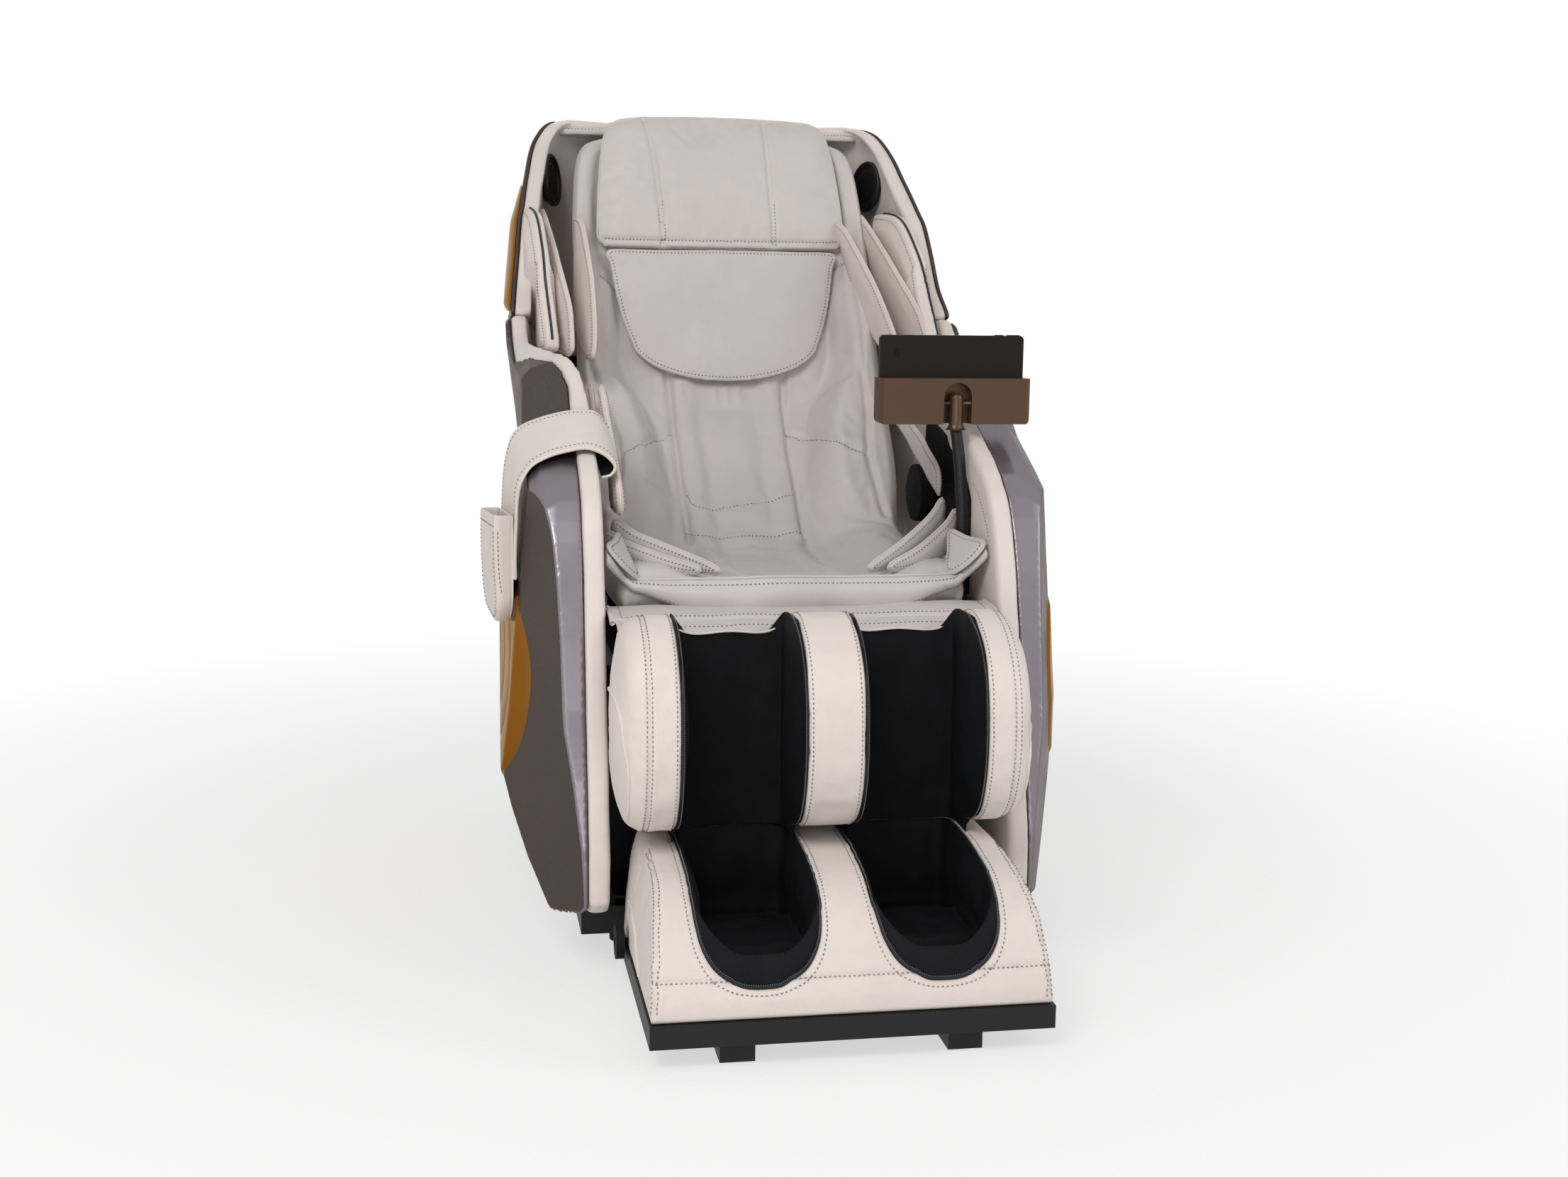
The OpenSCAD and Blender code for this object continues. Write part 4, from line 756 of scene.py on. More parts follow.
def plate_pad(name, outline, origin, u_axis, v_axis, thick, crown, material, body, voxel=3.0, edge=26.0, rounds=6,
              pipe=None, stitch=None, inset=6.0, pipe_r=1.7, bend=None):
    """Flat stuffed panel from an outline of (u, v) points, crowned inside its border, with piping and stitches.

    bend(u, v) gives an extra height over the panel's plane.
    """
    u_axis = np.asarray(u_axis, float) / np.linalg.norm(u_axis)
    v_axis = np.asarray(v_axis, float) / np.linalg.norm(v_axis)
    w_axis = np.cross(u_axis, v_axis)
    origin = np.asarray(origin, float)
    line = even(outline, max(24, int(length_of(outline) / 7)), closed=True)
    n = len(line)

    def world(points):
        p = np.asarray(points, float)
        height = p[:, 2] + (np.array([bend(a, b) for a, b in p[:, :2]]) if bend else 0)
        return origin + p[:, :1] * u_axis + p[:, 1:2] * v_axis + height[:, None] * w_axis

    mesh = bpy.data.meshes.new(name + "_rough")
    low = np.column_stack([line, np.full(n, -thick / 2)])
    high = np.column_stack([line, np.full(n, thick / 2)])
    faces = [tuple(range(n))[::-1], tuple(range(n, 2 * n))]
    faces += [(i, (i + 1) % n, n + (i + 1) % n, n + i) for i in range(n)]
    mesh.from_pydata((np.vstack([low, high]) * 0.001).tolist(), [], faces)
    piece = shown(name, skinned(name, mesh, voxel, rounds), material, body)
    co = points_of(piece)
    border = distance_to(co[:, :2], np.vstack([line, line[:1]]))
    co[:, 2] += np.clip(co[:, 2] * 4 / thick, -1, 1) * crown * smooth(border / edge)
    place_points(piece, world(co))
    if pipe:
        ring = np.column_stack([line, np.zeros(n)])
        tube(name + "_piping", world(ring), pipe_r, pipe, body, closed=True)
    if stitch:
        run = np.roll(line, -1, 0) - np.roll(line, 1, 0)
        inward = np.column_stack([-run[:, 1], run[:, 0]])
        inward /= np.linalg.norm(inward, axis=1, keepdims=True)
        inner = line + facing(inward, line.mean(0) - line) * inset
        inner = np.vstack([inner, inner[:1]])
        rows = [world(np.column_stack([inner, np.full(n + 1, side * (thick / 2 + crown))])) for side in (-1, 1)]
        sew(name + "_stitches", surface_of(piece), rows, stitch, body)
    return piece


# ---- Seat and back: one continuous cover that bends at the hip ----
cover_rows = [  # y, z, rise at the sides, half width, where the rise starts, thickness
    [-401, 478, 16, 214, 0.42, 62], [-398, 486, 20, 219, 0.42, 66], [-386, 493, 24, 224, 0.42, 70],
    [-360, 494, 26, 226, 0.42, 76], [-310, 488, 28, 226, 0.42, 76], [-250, 482, 30, 226, 0.42, 74],
    [-190, 480, 32, 226, 0.42, 72], [-130, 482, 34, 226, 0.42, 66], [-84, 487, 36, 225, 0.42, 56],
    [-56, 493, 37, 223, 0.43, 48], [-30, 504, 38, 223, 0.44, 44], [0, 524, 42, 226, 0.45, 44],
    [36, 551, 54, 231, 0.45, 44], [76, 585, 64, 234, 0.45, 44], [114, 618, 70, 235, 0.46, 44],
    [152, 653, 74, 236, 0.5, 44], [186, 686, 75, 236, 0.56, 44], [210, 718, 74, 236, 0.64, 44],
    [225, 756, 70, 236, 0.7, 44], [238, 800, 64, 236, 0.72, 44], [262, 870, 54, 237, 0.72, 44],
    [294, 950, 34, 240, 0.78, 44], [326, 1030, 24, 238, 0.8, 44], [350, 1084, 18, 232, 0.8, 44],
    [364, 1114, 12, 218, 0.8, 42], [372, 1130, 4, 190, 0.8, 38]]
rows = even(cover_rows, 210)
columns = 97
u = np.linspace(-1, 1, columns)
a = abs(u)
front = np.zeros((len(rows), columns, 3))
back = np.zeros_like(front)
for i, s in enumerate(rows):
    t = along(rows, i)
    up_y, up_z = -t[1], t[0]
    seat = 1 - smooth((s[1] - 480) / 90) if s[0] < 40 else 0
    side = s[2] * smooth((a - s[4]) / mixed(0.26, 0.45, seat))
    face = 8 * bump(a, 0.30, 0.12) - 3 * bump(a, 0.41, 0.06) - 3 * (1 - seat) * bump(a, 0.86, 0.05) + side
    face = face + 4 * (1 - seat) * bump(a, 0.6, 0.18)
    lean = smooth((-300 - s[0]) / 90)
    front_line = np.where(a < 0.9, -444 + 46 * (a / 0.9) ** 2, -398)
    y = s[0] + (front_line + 401) * lean * (1 if s[0] < -300 else 0)
    front[i] = np.column_stack([u * s[3], y + up_y * face, s[1] + up_z * face])
    deep = side - s[5]
    back[i] = np.column_stack([u * (s[3] - 6), y + up_y * deep, s[1] + up_z * deep])
cover = pad_mesh("seat_back_cover", front, back, mat["grey"], rim=7)

cover_seams = {
    "left_roll": [(98, 222, 740), (93, 176, 676), (90, 120, 622), (88, 60, 566), (87, 0, 520), (86, -22, 503)],
    "right_roll": [(-97, 222, 742), (-95, 176, 676), (-94, 120, 622), (-93, 60, 566), (-92, 0, 520),
                   (-92, -30, 495)],
    "right_slant": [(-190, 34, 632), (-151, 69, 645), (-97, 150, 660)],
    "left_slant": [(95, 148, 658), (138, 105, 648), (166, 47, 647), (201, 33, 631)],
    "right_upper": [(-210, 255, 907), (-189, 265, 895), (-150, 262, 870)],
    "left_upper": [(150, 262, 880), (187, 276, 923), (218, 273, 941)],
    "left_side": [(219, 259, 927), (217, 213, 865), (218, 183, 804), (215, 150, 757), (213, 101, 706),
                  (203, 33, 631), (206, 9, 601), (210, -20, 558), (214, -33, 533)],
    "right_side": [(-211, 247, 900), (-226, 193, 833), (-232, 161, 768), (-203, 72, 674), (-194, 34, 632),
                   (-200, 0, 596), (-208, -30, 550)],
}
cover_stitch_rows = {
    "upper": [(-90, 46, 568), (-67, 24, 544), (4, 34, 549), (86, 42, 564)],
    "lower": [(-95, -17, 518), (-71, -30, 508), (8, -22, 507), (87, -25, 514)],
}
tree = surface_of(cover)
seam_lines = {}
for key, line in {**cover_seams, **cover_stitch_rows}.items():
    seam_lines[key] = onto(tree, even(line, max(12, int(length_of(line) / 6))))[0]

at = points_of(cover)
pinned = near_lines(at, [seam_lines[key] for key in cover_seams], 4.5)
flat_back = np.arange(len(at)) >= len(rows) * columns
inflate(cover, pinned | flat_back, pressure=1.2, grow=0.006, cap=5, frames=14)
at = points_of(cover)
move = np.zeros(len(at))
for key in cover_seams:
    move += seam_depth(at, seam_lines[key], 3.4, 7.0 if "roll" in key else 6.0 if "side" in key else 4.2)
for key in cover_stitch_rows:
    move += seam_depth(at, seam_lines[key], 2.4, 1.6, 0.5)
crook = np.exp(-((at[:, 2] - 500) / 34) ** 2) * (at[:, 1] > -90)
folds = creases(at, 80, (0.8, 1, 1), 3.1) + 0.4 * creases(at, 30, (0.8, 1, 1), 7.7)
near = np.zeros(len(at))
for key in ("left_side", "right_side", "left_slant", "right_slant"):
    near = np.maximum(near, np.exp(-(distance_to(at, seam_lines[key]) / 34) ** 2))
puckers = creases(at, 22, (0.7, 1, 1), 1.7)
move += folds * (1.0 + 2.2 * crook) + near * puckers * 1.0
gather = np.exp(-((at[:, 2] - 716) / 16) ** 2) * (abs(at[:, 0]) < 70)
move += gather * (2.4 * np.cos(at[:, 0] / 4.3 + 2 * np.sin(at[:, 0] / 17)) - 2)
valley = [(84, -87, 494), (74, -150, 486), (60, -215, 482), (53, -257, 483), (50, -330, 488)]
move += seam_depth(at, onto(tree, even(valley, 40))[0], 7, 3.0, 0.8)
move[flat_back] = 0
move_points(cover, move)
finer(cover)
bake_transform(cover)
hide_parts("seat_cushion", "back_pad")

tree = surface_of(cover)
sew("back_stitches", tree, [seam_lines[key] for key in ("right_slant", "left_slant", "right_upper", "left_upper")],
    mat["thread_grey_painted_shade"], "backrest", aside=4.5, lift=0.25)
sew("lumbar_stitches", tree, [seam_lines["upper"]], mat["thread_grey_painted_shade"], "backrest", lift=0.3)
hip_thread = sew("hip_stitches", tree, [seam_lines["lower"]], mat["thread_grey_painted_shade"], None, lift=0.3)
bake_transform(hip_thread)

# ---- Head pillow, with two seams and a stitched hem ----
pillow_rows = even([  # y, z, half width, thickness
    [271, 953, 186, 8], [266, 956, 196, 14], [266, 963, 203, 18], [266, 974, 206, 20], [275, 1010, 205, 26],
    [293, 1060, 201, 32], [312, 1105, 196, 36], [330, 1140, 189, 36], [345, 1159, 180, 32], [358, 1168, 166, 20]], 62)
u = np.linspace(-1, 1, 96)
front = np.zeros((len(pillow_rows), len(u), 3))
back = np.zeros_like(front)
for i, (y, z, half, thick) in enumerate(pillow_rows):
    edge = abs(u) ** 8
    front[i] = np.column_stack([u * half, y + thick * 0.5 * edge, np.full(len(u), z)])
    back[i] = np.column_stack([u * (half - 1), y + thick * (1 - 0.4 * edge), np.full(len(u), z)])
pillow = pad_mesh("pillow", front, back, mat["pillow"], "backrest", rim=5)
pillow_seams = {
    "right": [(-124, 359, 1168), (-118, 336, 1140), (-112, 314, 1109), (-108, 300, 1075), (-105, 286, 1039),
              (-102, 274, 1000), (-100, 266, 958)],
    "left": [(80, 350, 1166), (82, 316, 1113), (83, 300, 1078), (84, 287, 1043), (86, 274, 1000),
             (87, 266, 958)],
}
tree = surface_of(pillow)
pillow_lines = {k: onto(tree, even(v, 60))[0] for k, v in pillow_seams.items()}
at = points_of(pillow)
pinned = (at[:, 2] < 960) | (np.arange(len(at)) >= front.shape[0] * front.shape[1])
pinned |= near_lines(at, pillow_lines.values(), 4)
inflate(pillow, pinned, pressure=1.6, grow=0.008, cap=6)
at = points_of(pillow)
move = sum(seam_depth(at, line, 2.8, 4.2, 0.3) for line in pillow_lines.values())
move += 1.0 * creases(at, 70, (1, 1, 1), 2.2) + 0.35 * creases(at, 22, (1, 1, 1), 6.2)
hem = [(-200, 266, 966), (-100, 264, 965), (0, 264, 965), (100, 264, 965), (200, 266, 966)]
hem_line = onto(tree, even(hem, 80))[0]
move += seam_depth(at, hem_line, 2.4, 2.0, 0.3)
move[at[:, 1] > 1000] = 0
move_points(pillow, move)
finer(pillow)
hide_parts("head_pillow")
pillow_stitch_rows = [(hem_line, {"thread": 1.0, "lift": 0.35})]
pillow_stitch_rows += [(line[40:], {"aside": aside}) for line in pillow_lines.values() for aside in (4.2, -4.2)]
sew("pillow_stitches", surface_of(pillow), pillow_stitch_rows, mat["thread_light_painted_shade"], "backrest", lift=0.2)
for side, sign in SIDES[::-1]:
    welt = [(sign * (s[2] + 1.5), s[0] + s[3] * 0.62, s[1]) for s in pillow_rows[2:-3:5]]
    tube("pillow_welt_" + side, even(welt, 60), 1.8, mat["pillow"], "backrest")

# ---- Neck flap ----
flap_line = [(-190, 0), (-100, 1), (0, 2), (100, 1), (190, 0), (188, -30), (181, -75), (171, -120), (158, -157)]
flap_line += [(154 * math.cos(math.radians(k)) * 1.04, -150 - 76 * math.sin(math.radians(k)))
              for k in range(20, 161, 14)]
flap_line += [(-158, -157), (-171, -120), (-181, -75), (-188, -30)]
tilt = math.radians(18.8)
flap = plate_pad("neck_flap_pad", flap_line, (0, 270, 949), (1, 0, 0), (0, math.sin(tilt), math.cos(tilt)), 5.5, 1.6,
                 mat["grey"], "backrest", voxel=2.6, edge=16, pipe=None, stitch=mat["thread_grey_painted_shade"], inset=6.5,
                 bend=lambda p, q: 2.2 * noise.noise(Vector((p / 70, q / 60, 4.4))) + 1.2 * noise.noise(
                     Vector((p / 28, q / 34, 9.1))) - 3 * (p / 190) ** 2)
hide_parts("neck_flap")

# ---- Shoulder leaves: three air pads on each side ----
leaves = {
    "inner": ([(298, 999), (262, 995), (214, 962), (138, 893), (82, 822), (64, 784), (72, 774), (112, 776),
               (180, 812), (226, 864), (266, 938), (290, 980)], (207, 1004, -9), 13),
    "middle": ([(318, 1012), (290, 1004), (186, 937), (83, 860), (44, 800), (50, 784), (78, 782), (180, 800),
                (280, 880), (320, 960), (332, 1000)], (259, 1012, -6), 13),
    "outer": ([(330, 1006), (300, 1016), (215, 1003), (154, 950), (115, 895), (76, 848), (44, 806), (58, 786),
               (180, 796), (290, 880), (330, 960)], (284, 1006, -5), 34),
}
# Furthest out that the middle plane of a leaf may be: where it passes inside the arm as the back reclines, and
# elsewhere inside the hood; and how far the leaf may swell beyond these
LEAF_LIMIT, HOOD_LIMIT = 305, 320
LEAF_SWELL, HOOD_SWELL = 11, 14
LEAF_PIVOT = 150  # depth at which a leaf's spread leaves it in place
RECLINED = (0.809, 0.588, -229)  # depth at full recline from a point's depth and height
ARM_REAR = 452


def passes_arm(y, z):
    """1 for a point of the back that comes to lie inside the arm at full recline."""
    return smooth((ARM_REAR - (RECLINED[0] * y + RECLINED[1] * z + RECLINED[2])) / 30)


for side, sign in SIDES[::-1]:
    for key, (outline, (x, z_top, turn), thick) in leaves.items():
        lean = math.radians(turn)
        v_axis = (sign * math.sin(lean), 0, math.cos(lean))
        origin = np.array([sign * (x + thick / 2), 0, z_top]) - z_top * np.array(v_axis)
        spread = 0.2 if sign < 0 else -0.12
        origin[0] -= sign * spread * LEAF_PIVOT

        def leaf_bend(p, q):
            middle = x + thick / 2 - (z_top - q) * math.tan(lean) + spread * (p - LEAF_PIVOT)
            tuck = max(0.0, middle - mixed(HOOD_LIMIT, LEAF_LIMIT, float(passes_arm(p, q))))
            return 1.5 * noise.noise(Vector((p / 60, q / 60, 1.0 + x / 50))) - sign * tuck

        leaf = plate_pad(f"{side}_{key}_leaf", outline, origin, (sign * spread, 1, 0), v_axis, thick * 0.62,
                         thick * 0.24, mat["light"], "backrest", edge=30, inset=5.5, bend=leaf_bend,
                         pipe=None if key == "outer" else mat["light"], stitch=mat["thread_light_painted_shade"])
        at = points_of(leaf)
        widest = mixed(HOOD_LIMIT + HOOD_SWELL, LEAF_LIMIT + LEAF_SWELL, passes_arm(at[:, 1], at[:, 2]))
        at[:, 0] = np.clip(at[:, 0], -widest, widest)
        place_points(leaf, at)
        if key == "outer":
            front_edge = np.array([(300, 1016), (258, 1012), (215, 1003), (184, 980), (154, 950), (134, 922),
                                   (115, 895), (95, 871), (76, 848), (58, 826), (44, 806)], float)
            path = even(front_edge, 120)
            u_axis = np.array([sign * spread, 1, 0]) / math.hypot(1, spread)
            world = origin + path[:, :1] * u_axis + path[:, 1:2] * np.array(v_axis)
            tree = surface_of(leaf)
            on, normal = onto(tree, world + np.array([0, -3, 1.5]), 0.3)
            tube(f"{side}_leaf_zip", on, 2.2, mat["zip"], "backrest", sides=6)
            sew(f"{side}_leaf_teeth", tree, [on + normal * 1.6], mat["teeth"], "backrest", pitch=2.6, gap=0.3,
                lift=1.8, smooth_line=False)
    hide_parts(f"{side}_shoulder_leaves")


# ---- Seat front: padded band with ears, and the hip flaps ----
def apron_y(a):
    return np.where(a < 0.9, -452 + 46 * (a / 0.9) ** 2, -406 - 24 * (a - 0.9) / 0.1)


def apron_top(a):
    return 515 - 6 * smooth(a / 0.85) + 42 * np.maximum(0, (a - 0.85) / 0.15) ** 1.3


def apron_drop(a):
    return 50 - 30 * smooth((a - 0.45) / 0.45)


APRON_W = 258
across = np.linspace(-1, 1, 171)
a = abs(across)
y0, z0, h = apron_y(a), apron_top(a), apron_drop(a)
loop = np.stack([np.column_stack([across * APRON_W, y0 + dy, z0 + dz + dh * h]) for dy, dz, dh in (
    (5, 0.5, 0), (0, -3, 0), (-5, -2, -0.2), (-8, 0, -0.42), (-7.5, 0, -0.66), (-4, 0, -0.86), (2, 0, -1),
    (8, 0, -1), (11, 0, -0.8), (12, 0, -0.4), (12, -3, 0), (10, 0.5, 0))], axis=1)
loop = np.stack([even(ring, 44, closed=True) for ring in loop])
n_ring = loop.shape[1]
faces = grid_faces(len(loop), n_ring, closed_columns=True)
faces += end_caps(len(loop), n_ring)
apron = outward(new_piece("seat_band", loop.reshape(-1, 3), faces, mat["grey"]))
at = points_of(apron)
sag = creases(at, 55, (0.8, 1, 1.4), 5.5) * 2.0 + creases(at, 18, (0.5, 1, 1), 8.5) * 0.9
crown = 3.0 * np.sin(np.pi * np.clip((np.interp(at[:, 0], across * APRON_W, z0) - at[:, 2])
                                    / np.interp(at[:, 0], across * APRON_W, h), 0, 1)) * (at[:, 1] < np.interp(
                                        at[:, 0], across * APRON_W, y0) + 1)
move_points(apron, sag + crown)
finer(apron)
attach(apron, "base")
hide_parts("seat_apron")
tree = surface_of(apron)
top_edge = np.column_stack([across * APRON_W, y0 + 2, z0 + 0.5])
top_on = onto(tree, even(top_edge[2:-2:3], 180), 0.6)[0]
tube("band_piping", top_on, 2.2, mat["grey"], "base")
sew("band_stitches", tree, [np.column_stack([across * APRON_W, y, z])[4:-4:3] for y, z in (
    (y0 - 7, z0 - h * 0.8), (y0 - 6, z0 - 7))], mat["thread_grey_painted_shade"], "base", lift=0.2)

for side, sign in SIDES:
    corner = np.array([sign * 256, -430, 553.0])
    rear = np.array([sign * 232, -338, 559.0])
    foot = np.array([sign * 212, -402, 508.0])
    low = np.array([sign * 238, -424, 516.0])
    u_axis = (rear - corner) / np.linalg.norm(rear - corner)
    w_axis = np.cross(u_axis, foot - corner)
    w_axis /= np.linalg.norm(w_axis)
    v_axis = np.cross(w_axis, u_axis)
    flat = [((p - corner) @ u_axis, (p - corner) @ v_axis) for p in (corner, (corner + rear) / 2, rear,
                                                                    (rear + foot) / 2 + (0, 2, 0), foot, low)]
    ear = plate_pad(f"{side}_seat_ear", flat, corner, u_axis, v_axis, 5, 1.5, mat["grey"], "base", voxel=2.2,
                    edge=12, pipe=mat["grey"], stitch=mat["thread_grey_painted_shade"], inset=5.5, pipe_r=1.5)

for side, sign, droop in (("left", 1, 0), ("right", -1, 26)):
    for key, foot, turn, outline, depth, thick in (
            ("back", (106, -404), 40, [(0, 512), (0, 523), (60, 547 - droop * 0.3), (130, 578 - droop * 0.8),
                                      (158, 598 - droop), (170, 595 - droop), (170, 570 - droop * 0.7), (166, 538),
                                      (120, 523), (60, 514)], 0, 7),
            ("front", (118, -408), 37, [(14, 513), (14, 524), (70, 542 - droop * 0.3), (130, 570 - droop * 0.8),
                                       (150, 586 - droop), (160, 582 - droop), (161, 560 - droop * 0.7), (158, 534),
                                       (120, 522), (60, 514)], -6, 5)):
        c, s = math.cos(math.radians(turn)), math.sin(math.radians(turn))
        origin = np.array([sign * (foot[0] - depth * s), foot[1] + depth * c, 0.0])
        leaf = plate_pad(f"{side}_{key}_hip_flap", outline, origin, (sign * c, s, 0), (0, 0, 1), thick, 2.6,
                         mat["grey"], "base", voxel=2.4, edge=16, pipe=mat["grey"], stitch=mat["thread_grey_painted_shade"],
                         inset=5, pipe_r=1.6, bend=lambda p, q: 5 * math.sin(p / 60) - 3)
    if side == "left":
        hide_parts("hip_flaps")


# ---- Arms: leather lining, metallic shell with its blade, glossy insert, pads and strap ----
for side, sign in SIDES[::-1]:
    lining = sculpted(f"{side}_lining", f"{side}_arm_lining", 3.4, 22, mat["light"], "base", snap=0.0)
    at = points_of(lining)
    move_points(lining, 0.7 * creases(at, 60, (1, 1, 1), 3.3 + sign) + 0.25 * creases(at, 17, (1, 1, 1), 1.1))
    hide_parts(f"{side}_arm_lining")
    lining_rows = [(-425, 560), (-405, 585), (-360, 620), (-340, 626)], [(-330, 512), (-200, 512), (-60, 512)]
    sew(f"{side}_lining_stitches", surface_of(lining), [[(sign * 262, y, z) for y, z in row] for row in lining_rows],
        mat["thread_light_painted_shade"], "base")

    shell = sculpted(f"{side}_shell", f"{side}_side_shell", 3.6, 4, mat["arm"], "base")
    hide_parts(f"{side}_side_shell")
    skin = surface_of(shell)

    # Glossy oval insert that follows the outer face, with three nested grooves
    turns, rings = 168, 44
    points = []
    for k in range(rings + 1):
        r = (k / rings) ** 0.8
        for j in range(turns):
            angle = 2 * math.pi * j / turns
            y = -40 + 378 * r * math.cos(angle)
            z = 360 + 208 * r * math.sin(angle)
            hit, normal, _, _ = skin.ray_cast(Vector((sign * 0.6, y * 0.001, z * 0.001)), Vector((-sign, 0, 0)))
            if hit is None:
                hit, normal, _, _ = skin.find_nearest(Vector((sign * 0.38, y * 0.001, z * 0.001)))
            lift = 3.4 * min(1, (1 - r) / 0.02) ** 0.5 if r < 1 else -0.5
            for groove in (0.60, 0.73, 0.86):
                reach = smooth(np.array((math.cos(angle - math.radians(212)) - 0.1) / 0.5))
                lift -= 1.0 * float(reach) * math.exp(-((r - groove - 0.05 * math.cos(angle)) / 0.014) ** 2)
            points.append(np.array(hit) * 1000 + np.array([sign * lift, 0, 0]))
    faces = grid_faces(rings + 1, turns, closed_columns=True)
    insert = new_piece(f"{side}_insert", points, faces, mat["insert"], "base")
    turned_out(insert, sign)
    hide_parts(f"{side}_side_insert")

    # Padded flap above the forearm recess
    lean = math.radians(-6)
    flap_axis = (sign * math.sin(lean), 0, math.cos(lean))
    origin = np.array([sign * 252, 0, 600]) - 600 * np.array(flap_axis)
    arm_flap = plate_pad(f"{side}_arm_flap", [(-215, 600), (-222, 622), (-205, 640), (-80, 690), (40, 735), (62, 728),
                                              (60, 700), (-60, 652), (-190, 596)], origin, (0, 1, 0), flap_axis, 6.5,
                         2.2, mat["grey"], "base", voxel=2.6, edge=18, pipe=mat["grey"], stitch=mat["thread_grey_painted_shade"],
                         inset=5, bend=lambda p, q: 2 * noise.noise(Vector((p / 50, q / 50, 2.0))))
    if sign < 0:
        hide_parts("arm_flaps")

    # Mesh pad in the recess and the round hand pad
    recess = plate_pad(f"{side}_recess_mesh", [(-325, 526), (-325, 590), (-286, 632), (-66, 690), (-28, 656),
                                               (-28, 526)], (sign * 280, 0, 0), (0, 1, 0), (0, 0, 1), 6, 2,
                       mat["mesh"], "base", voxel=3.0, edge=20)
    ring = [(-86 + 48 * math.cos(k), 582 + 44 * math.sin(k)) for k in np.linspace(0, 2 * math.pi, 24)[:-1]]
    palm = plate_pad(f"{side}_hand_pad", ring, (sign * 257, 0, 0), (0, 1, 0), (0, 0, 1), 24, 8, mat["mesh"], "base",
                     voxel=3.0, edge=40)
    if sign < 0:
        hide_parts("forearm_mesh")

# ---- Remote strap and pocket on the right arm ----
STRAP_Y = (-348, -250)
strap_front = [(258, 634), (243, 638), (236, 650), (244, 663), (259, 673), (278, 678), (303, 674), (328, 667),
               (352, 653), (366, 631), (371, 606), (372, 582), (374, 540), (374, 500)]
strap_rear = [(258, 668), (243, 676), (236, 690), (244, 706), (258, 719), (280, 721), (306, 717), (335, 710),
              (360, 699), (374, 682), (381, 655), (385, 625), (388, 560), (391, 500)]
STRAP_ALONG, STRAP_ACROSS = 110, 26
low, high = even(strap_front, STRAP_ALONG), even(strap_rear, STRAP_ALONG)
v = np.linspace(0, 1, STRAP_ACROSS)
outer = low[:, None, :] * (1 - v)[None, :, None] + high[:, None, :] * v[None, :, None]
y = STRAP_Y[0] + (STRAP_Y[1] - STRAP_Y[0]) * v
outer = np.dstack([-outer[..., 0], np.broadcast_to(y, outer.shape[:2]), outer[..., 1]])
n = facing(normals_of(outer), outer - np.array([-310.0, -300.0, 600.0]))
strap = pad_mesh("strap_band", outer + 0.4 * n, outer - 4.6 * n, [mat["light"], mat["fabric"]], "base", rim=4)
front_points = STRAP_ALONG * STRAP_ACROSS
for face in strap.data.polygons:  # the inner face is black fabric, whose black also paints the shade inside and under the loop
    if min(face.vertices) >= front_points and max(face.vertices) < 2 * front_points:
        face.material_index = 1
at = points_of(strap)
move_points(strap, 0.8 * creases(at, 40, (1, 1, 1), 4.1))
finer(strap)
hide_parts("remote_strap")
sew("strap_stitches", surface_of(strap), [outer[4:-22:3, k] + 2 * n[4:-22:3, k] for k in (2, -3)],
    mat["thread_light_painted_shade"], "base")
tilt = math.radians(4.4)
axis = (-math.sin(tilt), 0, math.cos(tilt))
origin = np.array([-230.5, 0, 600]) - 600 * np.array(axis)
panel = plate_pad("strap_panel", [(-200, 743), (-212, 736), (-250, 699), (-300, 662), (-340, 627), (-348, 604),
                                  (-342, 588), (-322, 582), (-280, 581), (-236, 582), (-232, 640), (-190, 668),
                                  (-165, 745)], origin, (0, 1, 0), axis, 9, 2.5, mat["light"], "base", voxel=2.6,
                  edge=20, pipe=mat["light"], stitch=mat["thread_light_painted_shade"], inset=6)

BAG_TURN = math.radians(-9.8)
BAG_SIDES = 72


def pocket_point(x, y, z):
    """Point of the pocket's own frame, on the right arm."""
    wx = 374.8 + x * math.cos(BAG_TURN) - y * math.sin(BAG_TURN)
    wy = -346 + x * math.sin(BAG_TURN) + y * math.cos(BAG_TURN)
    return (-wx, wy, z)


def pocket_front(z):
    return float(np.interp(z, [430, 455, 520, 585], [14, 21, 25, 26]))


def pocket_ring(z, shrink):
    """Outline of the bag at one height; shrink draws it in."""
    half = 47 if z > 481 else math.sqrt(max(4.0, 47**2 - (481 - z) ** 2))
    half = max(1.5, half - shrink)
    low, high = shrink * 0.6, max(shrink * 0.6 + 1, pocket_front(z) - shrink)
    r = min(9 - shrink * 0.5, half * 0.9, (high - low) * 0.45)
    line = []
    for cx, cy, start in ((high - r, 49 - half + r, -90), (high - r, 49 + half - r, 0),
                          (low + r * 0.4, 49 + half - r * 0.4, 90), (low + r * 0.4, 49 - half + r * 0.4, 180)):
        rr = r if start in (-90, 0) else r * 0.4
        for k in range(7):
            angle = math.radians(start + 15 * k)
            line.append((cx + rr * math.cos(angle), cy + rr * math.sin(angle)))
    return np.array([pocket_point(x, y, z) for x, y in even(line, BAG_SIDES, closed=True)])


